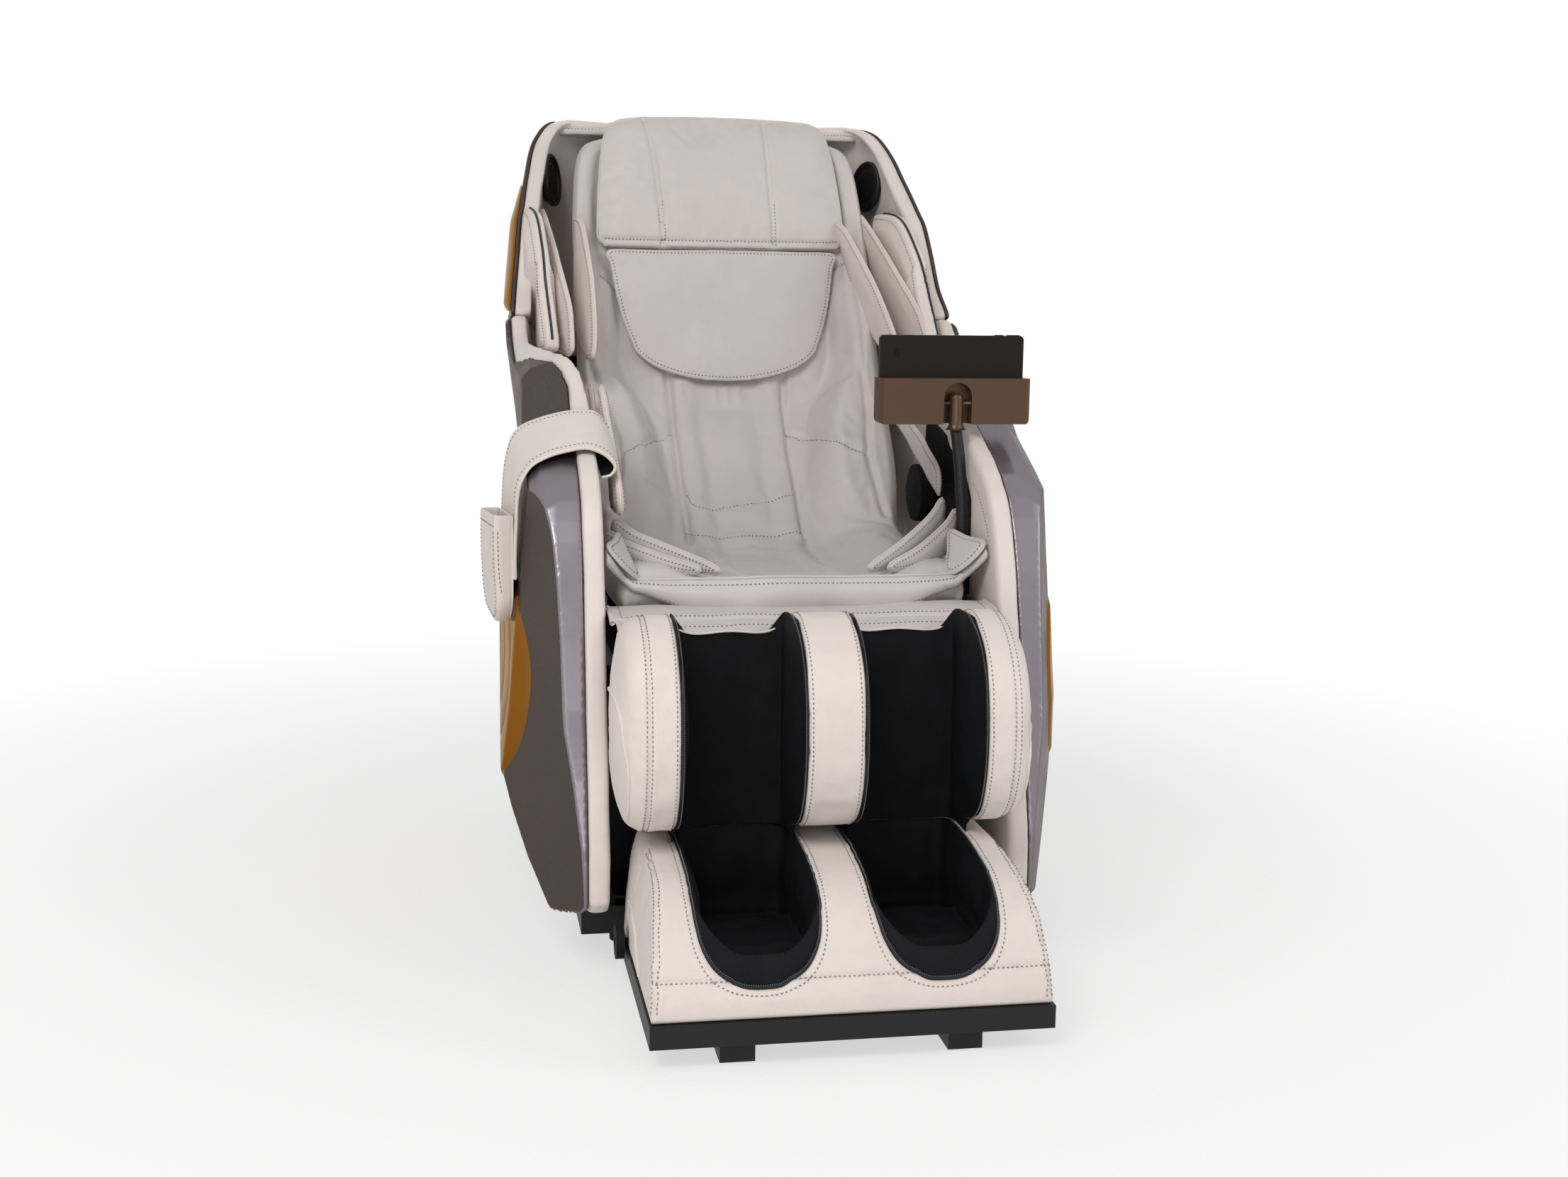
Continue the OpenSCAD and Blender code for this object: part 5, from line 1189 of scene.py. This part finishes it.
BAG_CREASED, BAG_LINED = 46, 53  # levels with soft folds, and the first level of the lining
levels = [(z, 0.0) for z in np.concatenate([434.5 + 46.5 * (1 - np.cos(np.linspace(0.02, math.pi / 2, 18))),
                                            np.linspace(484, 583, 30)])]
levels += [(585.0, 0.4), (586.0, 1.4), (585.2, 2.6)] + [(z, 3.2) for z in np.linspace(582, 452, 26)]
rings = [pocket_ring(z, shrink) for z, shrink in levels]
faces = grid_faces(len(rings), BAG_SIDES, closed_columns=True)
faces += end_caps(len(rings), BAG_SIDES)
pocket = outward(new_piece("pocket_bag", np.vstack(rings), faces, [mat["light"], mat["fabric"]], "base"))
for face in pocket.data.polygons:
    if min(face.vertices) >= BAG_SIDES * BAG_LINED:
        face.material_index = 1
at = points_of(pocket)
move_points(pocket, 0.7 * creases(at, 34, (1, 1, 1), 2.1) * (np.arange(len(at)) < BAG_SIDES * BAG_CREASED))
finer(pocket)
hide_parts("remote_pocket")
arc_line = [(8, 565), (8, 520), (8, 484)] + [(49 - 41 * math.cos(k), 484 - 43 * math.sin(k)) for k in
                                              np.linspace(0.2, math.pi - 0.2, 9)] + [(90, 484), (90, 520), (90, 565)]
pocket_rows = [[pocket_point(27, y, 571) for y in (5, 30, 60, 93)],
               [pocket_point(pocket_front(z) + 1, y, z) for y, z in arc_line],
               [pocket_point(x, 1, z) for x, z in ((22, 565), (21, 520), (16, 480))]]
sew("pocket_stitches", surface_of(pocket), pocket_rows, mat["thread_light_painted_shade"], "base")

# ---- Hood: outer shell, liner, glossy inserts and speakers ----
HOOD_ARC = 457
hood_rim = [(848, 357, 133), (891, 352, 176), (947, 346, 203), (994, 341, 232), (1017, 336, 254), (1050, 330, 292),
            (1078, 324, 324), (1105, 318, 352), (1126, 311, 374), (1145, 300, 388), (1156, 291, 402),
            (1163, 281, 420), (1166, 272, 434)]
hood_levels = [(z, 333 if z < 660 else 333 + 24 * float(smooth(np.array((z - 640) / 190))),
                HIP[0] + math.sqrt(HOOD_ARC**2 - (z - HIP[1]) ** 2)) for z in
               (452, 480, 520, 570, 620, 670, 720, 770, 810, 836)] + hood_rim


def hood_back(z):
    return 604 - (84 * ((800 - z) / 348) ** 2.2 if z < 800 else 112 * ((z - 800) / 366) ** 2.0)


def hood_curve(level, inset, count):
    """Evenly spaced points round the hood at one level, from its left to its right edge."""
    z, w, first = level
    turns = np.linspace(0, math.pi, 400)
    x = (w - inset) * np.sign(np.cos(turns)) * abs(np.cos(turns)) ** 0.62
    y = first + (hood_back(z) - inset - first) * np.sin(turns) ** 0.62
    run = np.concatenate([[0], np.cumsum(np.hypot(np.diff(x), np.diff(y)))])
    s = np.linspace(0, run[-1], count)
    return np.column_stack([np.interp(s, run, x), np.interp(s, run, y), np.full(count, z)])


def hood_grid(levels, inset, count):
    return np.stack([hood_curve(level, inset, count) for level in levels])


fine_levels = even(hood_levels, 190)
outer = hood_grid(fine_levels, 0, 260)
n = facing(normals_of(outer), np.array([0, 1, 0]))
z, x = outer[..., 2], outer[..., 0]
rear = smooth((outer[..., 1] - 480) / 60)
corner = np.hypot(np.maximum(abs(x) - 138, 0), np.maximum(abs(z - 690) - 88, 0)) - 30
groove = np.exp(-(corner / 2.6) ** 2) * 2.4
slots = sum(np.exp(-((z - zc) / 3.2) ** 2) for zc in range(610, 780, 24)) * smooth((120 - abs(x)) / 8) * 3.2
seam = np.exp(-((z - 842) / 1.9) ** 2) * 1.6
ridge = 2.6 * np.exp(-((abs(x) - 205 - 0.25 * (z - 800)) / 14) ** 2) * smooth((z - 560) / 60) * smooth(
    (1130 - z) / 60)
outer = outer + n * ((ridge - groove - slots) * rear - seam)[..., None]
hood = pad_mesh("hood_outer", outer, hood_grid(fine_levels, 6, 260), mat["shell"], "backrest", rim=3, full=0.3)
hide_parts("hood_shell")

lined = [level for level in fine_levels if level[0] > 762]
inner = hood_grid(lined, 30, 200)
n = facing(normals_of(inner), np.array([0, -1, 0]))
at = inner.reshape(-1, 3)
puff = 1.8 * creases(at, 60, (1, 1, 1), 6.6).reshape(inner.shape[:2])
puff += 5 * np.sin(np.linspace(0, math.pi, inner.shape[1])) ** 0.3
liner = pad_mesh("hood_padding", inner + n * puff[..., None], hood_grid(lined, 7.2, 200), mat["light"], "backrest",
                 rim=7, full=0.16)
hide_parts("hood_liner")
sew("liner_stitches", surface_of(liner), [inner[4:-4:6, k] for k in (3, -4)], mat["thread_light_painted_shade"], "backrest")
# The top pad has the grey leather, darker than the liner beside it: painted shade on the hood's top
top_pad = plate_pad("hood_top_pad", [(-262, 424), (-240, 412), (-120, 410), (0, 410), (120, 410), (240, 412),
                                     (262, 424), (262, 440), (225, 468), (150, 484), (0, 488), (-150, 484),
                                     (-225, 468), (-262, 440)], (0, 0, 1149), (1, 0, 0), (0, 1, 0), 10, 3,
                    mat["grey"], "backrest", voxel=3.4, edge=30, stitch=mat["thread_grey_painted_shade"])

SPEAKER = Vector((279, 402, 1066))  # middle of the left speaker
for side, sign in SIDES:
    rows_z = np.linspace(848, 1052, 70)
    table = np.array(hood_rim, float)
    grid = []
    for z in rows_z:
        edge = np.interp(z, table[:, 0], table[:, 2])
        wide = np.interp(z, table[:, 0], table[:, 1])
        reach = 26 + 150 * math.sin(math.pi * (z - 790) / 290)
        t = np.linspace(0, 1, 44)
        y = edge + 8 + reach * t
        share = np.clip((y - edge) / (hood_back(z) - edge), 0, 1) ** (1 / 0.62)
        x = wide * np.sqrt(1 - share**2) ** 0.62
        proud = 1.0 + 9 * np.sin(np.pi * t) ** 0.6 * math.sin(math.pi / 2 * min(1, (1064 - z) / 90)) * min(
            1, (z - 846) / 14) ** 0.5
        proud -= 1.6 * np.exp(-((t - 0.5 - 0.12 * math.sin((z - 850) / 60)) / 0.03) ** 2)
        grid.append(np.column_stack([sign * (x + proud), y, np.full(44, z)]))
    gloss = new_piece(f"{side}_hood_gloss", np.vstack(grid), grid_faces(70, 44), mat["insert"], "backrest")
    turned_out(gloss, sign)
    if sign > 0:
        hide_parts("hood_inserts")
    turn = Matrix.Rotation(math.radians(-16), 4, "X") @ Matrix.Rotation(math.radians(20), 4, "Z") @ Matrix.Rotation(
        math.radians(-90), 4, "Y")

    def speaker_circle(radius, height, count):
        """Points of a circle round the speaker's axis."""
        circle = []
        for k in np.linspace(0, 2 * math.pi, count + 1)[:-1]:
            p = turn @ Vector((radius * math.cos(k), radius * math.sin(k), height)) + SPEAKER
            circle.append((sign * p.x, p.y, p.z))
        return circle

    for key, radius, height, thick, finish in (("rim", 41, 5.5, 3.4, "black"), ("ring", 34.5, 4.6, 1.2, "shell")):
        tube(f"{side}_speaker_{key}", speaker_circle(radius, height, 71), thick, mat[finish], "backrest", sides=12,
             closed=True)
    dome = sum((speaker_circle(34 * r, 2.6 + 3.6 * (1 - r * r), 48) for r in np.linspace(0, 1, 12)), [])
    new_piece(f"{side}_speaker_grille", dome, grid_faces(12, 48, closed_columns=True), mat["grille"], "backrest")

# ---- Leg rest: bolsters, fabric channels with zippers, knee cover ----
calf_profile = np.array([(-515, 250), (-528, 234), (-560, 225), (-600, 224), (-633, 233), (-658, 252), (-674, 280),
                         (-683, 318), (-683, 368), (-674, 416), (-655, 450), (-628, 473), (-592, 487), (-560, 487),
                         (-532, 474), (-515, 450)], float)
CALF_MID = np.array([-598, 356], float)
CHANNEL_IN, CHANNEL_OUT, CALF_HALF = 36, 190, 256
calf_line = even(np.roll(calf_profile, -8, axis=0), 170, closed=True)


def calf_ring(inset, x):
    line = calf_line + (CALF_MID - calf_line) * inset
    return np.column_stack([np.full(len(line), x), line])


def round_edge(distance, size, amount):
    """Inset of a rounded edge at a distance from the end face."""
    t = min(1.0, max(0.0, distance / size))
    return amount * (1 - math.sqrt(max(0.0, 1 - (1 - t) ** 2)))


END_BULGE = 5.0


def domed_end(x, edge, shares, way):
    """Rings of a roll's end face, which bulges along x."""
    return [calf_ring(1 - share * (1 - edge[1]), x + way * END_BULGE * (1 - share**2) * edge[2]) for share in shares]


def bolster(name, x0, x1, low_edge, high_edge, seams):
    """Stuffed roll from x0 to x1; edges are (size, inset share, bulge), seams are x places of stitched lines."""
    rings = domed_end(x0, low_edge, np.linspace(0.04, 0.94, 9), -1)
    for x in np.linspace(x0, x1, int((x1 - x0) / 2.6) + 1):
        inset = max(round_edge(x - x0, low_edge[0], low_edge[1]), round_edge(x1 - x, high_edge[0], high_edge[1]))
        rings.append(calf_ring(inset, x))
    rings += domed_end(x1, high_edge, np.linspace(0.94, 0.04, 9), 1)
    count = len(calf_line)
    faces = grid_faces(len(rings), count, closed_columns=True)
    faces += end_caps(len(rings), count)
    roll = outward(new_piece(name, np.vstack(rings), faces, mat["light"]))
    at = points_of(roll)
    pinned = at[:, 1] > -530
    for x in seams:
        pinned |= abs(at[:, 0] - x) < 1.8
    inflate(roll, pinned, pressure=1.4, grow=0.004, cap=4)
    at = points_of(roll)
    move = 0.8 * creases(at, 60, (0.6, 1, 1), x0 / 50) + 0.3 * creases(at, 16, (1, 1, 1), 3.3)
    for x in seams:
        d = at[:, 0] - x
        move += -2.0 * np.exp(-(d / 2.2) ** 2) + 0.5 * np.exp(-((abs(d) - 6) / 4) ** 2)
    move_points(roll, move)
    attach(roll, "legrest")
    return roll


def calf_stitches(name, roll, places):
    """Rows of stitches round the front of a roll, at the given places along x."""
    keep = calf_line[calf_line[:, 0] < -535]
    keep = keep[np.argsort(np.arctan2(keep[:, 1] - CALF_MID[1], -(keep[:, 0] - CALF_MID[0])))]
    sew(name, surface_of(roll), [np.column_stack([np.full(len(keep), x), keep])[::3] for x in places],
        mat["thread_light_painted_shade"], "legrest", lift=0.25)


right_roll = bolster("right_bolster", -CALF_HALF, -CHANNEL_OUT, (34, 0.2, 2.4), (9, 0.035, 0.3), (-228,))
left_roll = bolster("left_bolster", CHANNEL_OUT, CALF_HALF - 8, (9, 0.035, 0.3), (34, 0.2, 1.2), (226,))
centre_roll = bolster("centre_bolster", -CHANNEL_IN, CHANNEL_IN, (9, 0.035, 0.3), (9, 0.035, 0.3), ())
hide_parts("right_calf_bolster")
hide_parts("left_calf_bolster")
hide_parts("centre_calf_bolster")
calf_stitches("right_bolster_stitches", right_roll, (-225, -231.5, -195.5))
calf_stitches("left_bolster_stitches", left_roll, (225, 231.5, 195.5))
calf_stitches("centre_bolster_stitches", centre_roll, (-30, 30))
side_seam = [(-574, 398), (-610, 399), (-640, 392), (-659, 376), (-668, 348), (-678, 320), (-676, 299), (-662, 262),
             (-640, 240)]
for sign, roll in ((-1, right_roll), (1, left_roll)):
    tree = surface_of(roll)
    on, _ = onto(tree, even([(sign * 258, y * 0.985 - 9, z) for y, z in side_seam], 90), 0.4)
    tube("side_welt_" + ("left" if sign > 0 else "right"), on, 2.3, mat["light"], "legrest")

for side, sign in SIDES:
    heights = np.linspace(205, 486, 76)
    front_y = np.array([calf_line[np.argsort(abs(calf_line[:, 1] - z))[:6], 0].min() for z in heights])
    front_y = CALF_MID[0] + (front_y - CALF_MID[0]) * 0.965
    front_y = np.convolve(np.pad(front_y, 3, mode="edge"), np.ones(7) / 7, mode="valid")
    grid = []
    for z, y_lip in zip(heights, front_y):
        path = even([(CHANNEL_IN + 1, y_lip), (CHANNEL_IN + 1.5, (y_lip - 534) / 2), (CHANNEL_IN + 3, -545),
                     (CHANNEL_IN + 14, -533), (113, -530), (CHANNEL_OUT - 14, -533), (CHANNEL_OUT - 3, -545),
                     (CHANNEL_OUT - 1.5, (y_lip - 534) / 2), (CHANNEL_OUT - 1, y_lip)], 110)
        rise = math.sin(math.pi * (z - 204) / 283) ** 0.7
        arch = np.sin(np.pi * np.clip((path[:, 1] - y_lip) / (-534 - y_lip), 0, 1))
        inner_wall = np.clip(1 - (path[:, 0] - CHANNEL_IN) / 20, 0, 1) * arch
        outer_wall = np.clip(1 - (CHANNEL_OUT - path[:, 0]) / 20, 0, 1) * arch
        x = path[:, 0] + 13 * rise * inner_wall - 15 * rise * outer_wall
        rear = smooth((path[:, 1] - y_lip) / (-540 - y_lip)) * smooth((30 - abs(x - 113) + 48) / 30)
        grid.append(np.column_stack([sign * x, path[:, 1], z - rear * 29 * smooth((z - 330) / 156)]))
    grid = np.array(grid)
    n = facing(normals_of(grid), np.array([sign * 113, -610, 350]) - grid)
    at = grid.reshape(-1, 3)
    wrinkle = 3.4 * creases(at, 60, (1, 1, 0.4), 5.0) + 1.7 * creases(at, 22, (1, 1, 0.4), 8.0)
    edge = np.minimum(np.arange(110), 109 - np.arange(110))
    calm = smooth(edge / 8)[None, :]
    face = grid + n * (wrinkle.reshape(76, 110) * calm)[..., None] + n * 0.5
    fabric = pad_mesh(f"{side}_channel_fabric", face, grid - n * 1.8, mat["fabric"], "legrest", rim=1)
    finer(fabric)
    if sign > 0:
        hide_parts("calf_lining")
    # Hem along the fabric's top edge at the back of the channel
    hem = [(sign * x, -533, 458 + 1.5 * math.sin(x / 14) + 10 * (abs(x - 113) / 70) ** 6)
           for x in np.linspace(CHANNEL_IN + 12, CHANNEL_OUT - 12, 30)]
    tube(f"{side}_channel_hem", hem, 1.5, mat["light"], "legrest")
    for key, x in (("in", CHANNEL_IN + 1.6), ("out", CHANNEL_OUT - 1.6)):
        lip = calf_line[calf_line[:, 0] < -560]
        lip = lip[np.argsort(lip[:, 1])]
        ring = CALF_MID + (lip - CALF_MID) * 0.972
        path = even(np.column_stack([np.full(len(ring), sign * x), ring])[::3], 150)
        tape = tube(f"{side}_calf_zip_{key}", path, 2.4, mat["zip"], "legrest")
        shift = np.array([sign * (1.4 if key == "in" else -1.4), 0, 0])
        outwards = ring[::3] - CALF_MID
        outwards /= np.linalg.norm(outwards, axis=1, keepdims=True)
        teeth_line = path + shift + np.column_stack([np.zeros(150), even(outwards, 150) * 3])
        sew(f"{side}_calf_teeth_{key}", surface_of(tape), [teeth_line], mat["teeth"], "legrest", **ZIP_TEETH)

# Knee cover: two layers of leather over the gap, with rolled and stitched ends
for key, half, path_yz in (("knee_flap", 248, [(-440, 464), (-462, 468), (-486, 468), (-506, 466), (-520, 463),
                                               (-529, 457)]),
                           ("knee_fold", 256, [(-432, 476), (-450, 476), (-468, 475), (-482, 473), (-492, 471),
                                               (-497, 467)])):
    profile = even(path_yz, 26)
    xs = np.linspace(-half, half, 124)
    grid = np.stack([np.column_stack([np.full(26, x), profile[:, 0] + 2.0 * noise.noise(Vector((x / 40, 0, 1))),
                                      profile[:, 1] + 2.2 * noise.noise(Vector((x / 55, 3, 1)))]) for x in xs])
    n = facing(normals_of(grid), np.array([0, 0, 1]))
    knee = pad_mesh(key, grid + 0.5 * n, grid - 3.5 * n, mat["grey"], rim=3)
    finer(knee)
    if key == "knee_flap":
        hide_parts("knee_cover")
    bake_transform(knee)
    knee_rows = [line + (0, 0, 2) for line in (grid[4:-4:4, 22], grid[3, 2:-2:3], grid[-4, 2:-2:3])]
    thread = sew(key + "_stitches", surface_of(knee), knee_rows, mat["thread_grey_painted_shade"], None)
    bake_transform(thread)
    for side, sign in SIDES[::-1]:
        roll = tube(f"{side}_{key}_roll", even([(sign * half, y, z - 2) for y, z in profile[::5]], 30), 3.4,
                    mat["grey"], sides=10)
        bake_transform(roll)

# ---- Foot unit ----
foot = sculpted("foot_block", "foot_shell", 3.8, 5, mat["light"], "footrest")
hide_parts("foot_shell")
foot_profile = even([(-808, 62), (-806, 80), (-797, 102), (-785, 126), (-769, 149), (-741, 173), (-715, 186),
                     (-691, 193), (-632, 202), (-560, 204), (-505, 198)], 80)
tree = surface_of(foot)


def foot_top(y):
    order = np.argsort(foot_profile[:, 0])
    return float(np.interp(y, foot_profile[order, 0], foot_profile[order, 1]))


def well_outline(inset, sign, count=190):
    """Closed line round a foot well in plan."""
    x0, x1 = 32 + inset, 182 - inset
    y_front, y_rear, r, q = -787 + inset, -528 - inset, 56 - inset, 12
    line = [(x0, y_rear - q), (x0, -570), (x0, -620), (x0, -670)]
    line += [(x0 + r - r * math.cos(k), y_front + r - r * math.sin(k)) for k in np.linspace(0, math.pi / 2, 7)]
    line += [(x1 - r + r * math.sin(k), y_front + r - r * math.cos(k)) for k in np.linspace(0, math.pi / 2, 7)]
    line += [(x1, -670), (x1, -620), (x1, -570), (x1, y_rear - q), (x1 - q * 0.3, y_rear - q * 0.3), (x1 - q, y_rear)]
    line += [(107, y_rear), (x0 + q, y_rear), (x0 + q * 0.3, y_rear - q * 0.3)]
    p = even(line, count, closed=True)
    return np.column_stack([sign * p[:, 0], p[:, 1]])


def lip_outline(grow, sign, count=190):
    """Closed line of the fabric's sewn edge round a foot well, over its front lip; grow widens it."""
    x0, x1, f = 32 - grow, 184 + grow, -grow * 0.45
    line = [(x0, -540), (x0, -570), (x0, -620), (x0, -680), (x0 + 1, -735), (x0 + 4, -765 + f), (x0 + 10, -781 + f),
            (x0 + 24, -792.5 + f), (x0 + 46, -798.5 + f), (92, -801 + f), (124, -801 + f), (x1 - 42, -798.5 + f),
            (x1 - 20, -791.5 + f), (x1 - 7, -779 + f), (x1 - 2, -760 + f), (x1, -730), (x1, -680), (x1, -620),
            (x1, -570), (x1, -540), (x1 - 4, -532), (x1 - 12, -528), (107, -528), (x0 + 12, -528), (x0 + 4, -532)]
    p = even(line, count, closed=True)
    return np.column_stack([sign * p[:, 0], p[:, 1], [foot_top(y) for y in p[:, 1]]])


seams = {
    "front": [(-236, -797, 101), (-120, -799, 100), (0, -799, 100), (120, -799, 100), (236, -797, 101)],
    "right": [(-224, -600, 198), (-224, -640, 196), (-225, -719, 184), (-231, -781, 131), (-235, -800, 98),
              (-238, -807, 67)],
    "left": [(220, -600, 198), (220, -692, 193), (228, -760, 158), (235, -792, 112), (236, -808, 64)],
}
lines = {k: onto(tree, even(v, 120))[0] for k, v in seams.items()}
at = points_of(foot)
pinned = near_lines(at, lines.values(), 4)
in_well = np.zeros(len(at), bool)
for sign in (-1, 1):
    rim_line = well_outline(-1, sign)
    d = distance_to(np.column_stack([at[:, :2], np.zeros(len(at))]),
                    np.column_stack([rim_line, np.zeros(len(rim_line))]))
    inside = (at[:, 0] * sign > 28) & (at[:, 0] * sign < 190) & (at[:, 1] > -804)
    in_well |= inside & (at[:, 2] > 84) | (d < 7)
pinned |= in_well | (at[:, 2] < 66) | (at[:, 1] > -520)
inflate(foot, pinned, pressure=1.4, grow=0.003, cap=4)
at = points_of(foot)
move = sum(seam_depth(at, line, 2.8, 2.2, 0.3) for line in lines.values())
move += 0.7 * creases(at, 60, (1, 1, 1), 1.3) + 0.25 * creases(at, 17, (1, 1, 1), 4.4)
move[at[:, 2] < 60] = 0
move_points(foot, move)
tree = surface_of(foot)
foot_stitch_rows = [(lines["front"], {"lift": 0.3})]
foot_stitch_rows += [(lines[key], {"aside": aside}) for key in ("right", "left") for aside in (4, -4)]
for sign in (-1, 1):
    ring = lip_outline(8.5, sign)
    ring = np.roll(ring, -int(np.argmin(abs(ring[:, 1] + 560) + (ring[:, 0] * sign > 107) * 900)), axis=0)
    ring = ring[: int(np.argmax((ring[:, 1] > -550) & (np.arange(len(ring)) > 20)))]
    foot_stitch_rows.append(ring[::4] + (0, 0, 1))
sew("foot_stitches", tree, foot_stitch_rows, mat["thread_light_painted_shade"], "footrest", lift=0.2)
for side, sign in SIDES[::-1]:
    welt, _ = onto(tree, even([(sign * 243, -560, 118), (sign * 243, -600, 117), (sign * 243, -640, 106),
                               (sign * 243, -668, 86), (sign * 243, -678, 64)], 60), 0.4)
    tube(f"{side}_foot_welt", welt, 2.0, mat["light"], "footrest")

for side, sign in SIDES:
    lip = lip_outline(0, sign)
    rim_line = well_outline(2.5, sign)
    count = len(rim_line)
    rings = []
    for share in np.linspace(0, 1, 7):
        flat = mixed(lip[:, :2], rim_line, share)
        on, _ = onto(tree, np.column_stack([flat, [foot_top(y) for y in flat[:, 1]]]), 1.4)
        rings.append(np.column_stack([flat, np.maximum(on[:, 2], [foot_top(y) + 1.0 for y in flat[:, 1]])])
                     + (0, -1.6 * math.sin(math.pi * share), 1.8 * math.sin(math.pi * share)))
    rim_z = np.array([foot_top(y) for y in rim_line[:, 1]])
    hub = np.array([sign * 107, -655])
    toward = hub - rim_line
    toward /= np.linalg.norm(toward, axis=1, keepdims=True)
    for depth in np.linspace(0.04, 1, 24):
        floor_z = 85 + 24 * smooth((70 - abs(rim_line[:, 1] + 650)) / 18)
        z = rim_z - 1 + (floor_z - rim_z + 1) * depth
        swell = 10 * math.sin(math.pi * depth) ** 0.8 + 7 * float(smooth(np.array((depth - 0.75) / 0.25)))
        rings.append(np.column_stack([rim_line + toward * swell, z]))
    base_line = rings[-1][:, :2]
    for inset in np.linspace(0.07, 0.97, 15):
        line = base_line + (hub - base_line) * inset
        floor_z = 84 + 24 * smooth((70 - abs(line[:, 1] + 650)) / 18)
        rings.append(np.column_stack([line, floor_z]))
    grid = np.array(rings)
    n = facing(normals_of(grid, closed_columns=True), np.array([sign * 107, -655, 190]) - grid)
    at = grid.reshape(-1, 3)
    wrinkle = 5.0 * creases(at, 50, (1, 1, 0.4), 2.6) + 2.4 * creases(at, 20, (1, 1, 0.4), 6.0)
    calm = smooth((np.arange(len(grid)) - 5) / 6)[:, None]
    grid = grid + n * (wrinkle.reshape(grid.shape[:2]) * calm)[..., None]
    faces = grid_faces(len(grid), count, closed_columns=True)
    faces.append(tuple(range((len(grid) - 1) * count, len(grid) * count)))
    sock = new_piece(f"{side}_foot_fabric", grid.reshape(-1, 3), faces, mat["fabric"], "footrest")
    finer(sock)
    if sign > 0:
        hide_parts("foot_linings")
    path = onto(tree, lip, 0.8)[0]
    tape = tube(f"{side}_foot_zip", path, 2.5, mat["zip"], "footrest", closed=True)
    sew(f"{side}_foot_teeth", surface_of(tape), [np.vstack([path, path[:1]]) + (0, -0.6, 3)], mat["teeth"],
        "footrest", **ZIP_TEETH)


# ---- Hard parts: rounded copies of small solids, and finishes for the rest ----
def rounded_copy(name, node, material, body, width=1.0, segments=3, angle=35):
    """Copy of a CAD solid with its sharp edges rounded."""
    piece = shown(name, merged(name, *joined(*meshes_of(node)), flat=math.radians(2)), material, body)
    bevel = piece.modifiers.new("rounded", "BEVEL")
    bevel.width = width * 0.001
    bevel.segments = segments
    bevel.limit_method = "ANGLE"
    bevel.angle_limit = math.radians(angle)
    bevel.harden_normals = True
    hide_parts(node)


rounded_copy("tablet_body", "tablet", mat["tablet"], "cradle", 1.4, 4)
rounded_copy("cradle_body", "tablet_cradle", mat["cradle"], "cradle", 2.6, 5)
rounded_copy("power_key", "power_button", mat["black"], "power_button", 0.4, 2)
rounded_copy("volume_key", "volume_rocker", mat["black"], "volume_rocker", 0.4, 2)

neck_path = even([(249, -342, 504), (249, -342, 530), (249, -341, 560), (249, -338, 590), (248, -333, 620),
                  (247, -327, 650), (245, -321, 678), (243, -316, 699)], 190)
ripple = 8.3 + 0.25 * np.sin(np.arange(190) * 2.1)
neck = tube("neck_skin", neck_path, ripple, mat["neck"], "gooseneck", sides=24)
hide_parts("gooseneck")
stalk_z = [(0, 14.5), (2, 12.2), (6, 10.2), (12, 9.6), (30, 9.5), (44, 9.5), (46.5, 9.1), (49, 7.6), (50.6, 5.2),
           (51.4, 2.4), (51.6, 0.3)]
stalk_line = even([(243, -315.5, 698 + z) for z, r in stalk_z], 60)
stalk_r = np.interp(stalk_line[:, 2] - 698, [z for z, r in stalk_z], [r for z, r in stalk_z])
tube("neck_stalk", stalk_line, stalk_r, mat["cradle"], "gooseneck", sides=32)
tube("tilt_pin", [(215, -315.5, 735), (243, -315.5, 735), (271, -315.5, 735)], 3, mat["cradle"], "gooseneck", 12)
tube("neck_foot", even([(249, -342, 488), (249, -342, 500), (249, -342, 506), (249, -342, 512)], 20),
     np.interp(np.linspace(488, 512, 20), [488, 504, 505, 510, 512], [7, 7, 10, 10, 8.6]), mat["black"], "gooseneck",
     24)

finishes = {
    "frame": ("base_frame", "seat_frame", "air_pump", "back_frame", "carriage", "screw_motor", "leg_frame",
              "recline_actuator", "leg_actuator"),
    "black": ("base_covers", "power_box", "mains_inlet", "control_box", "gooseneck_socket", "speakers", "foot_tray"),
    "rubber": ("floor_feet", "transport_wheels", "sole_rollers", "foot_wheels"),
    "steel": ("massage_rails", "lead_screw", "foot_slides", "recline_rod", "leg_rod"),
    "light": ("massage_rollers",),
    "red": ("rocker_switch",),
}
for finish, node_names in finishes.items():
    for node in node_names:
        for part in meshes_of(node):
            if not part.material_slots:
                part.data.materials.append(mat[finish])
            for slot in part.material_slots:
                slot.material = mat[finish]
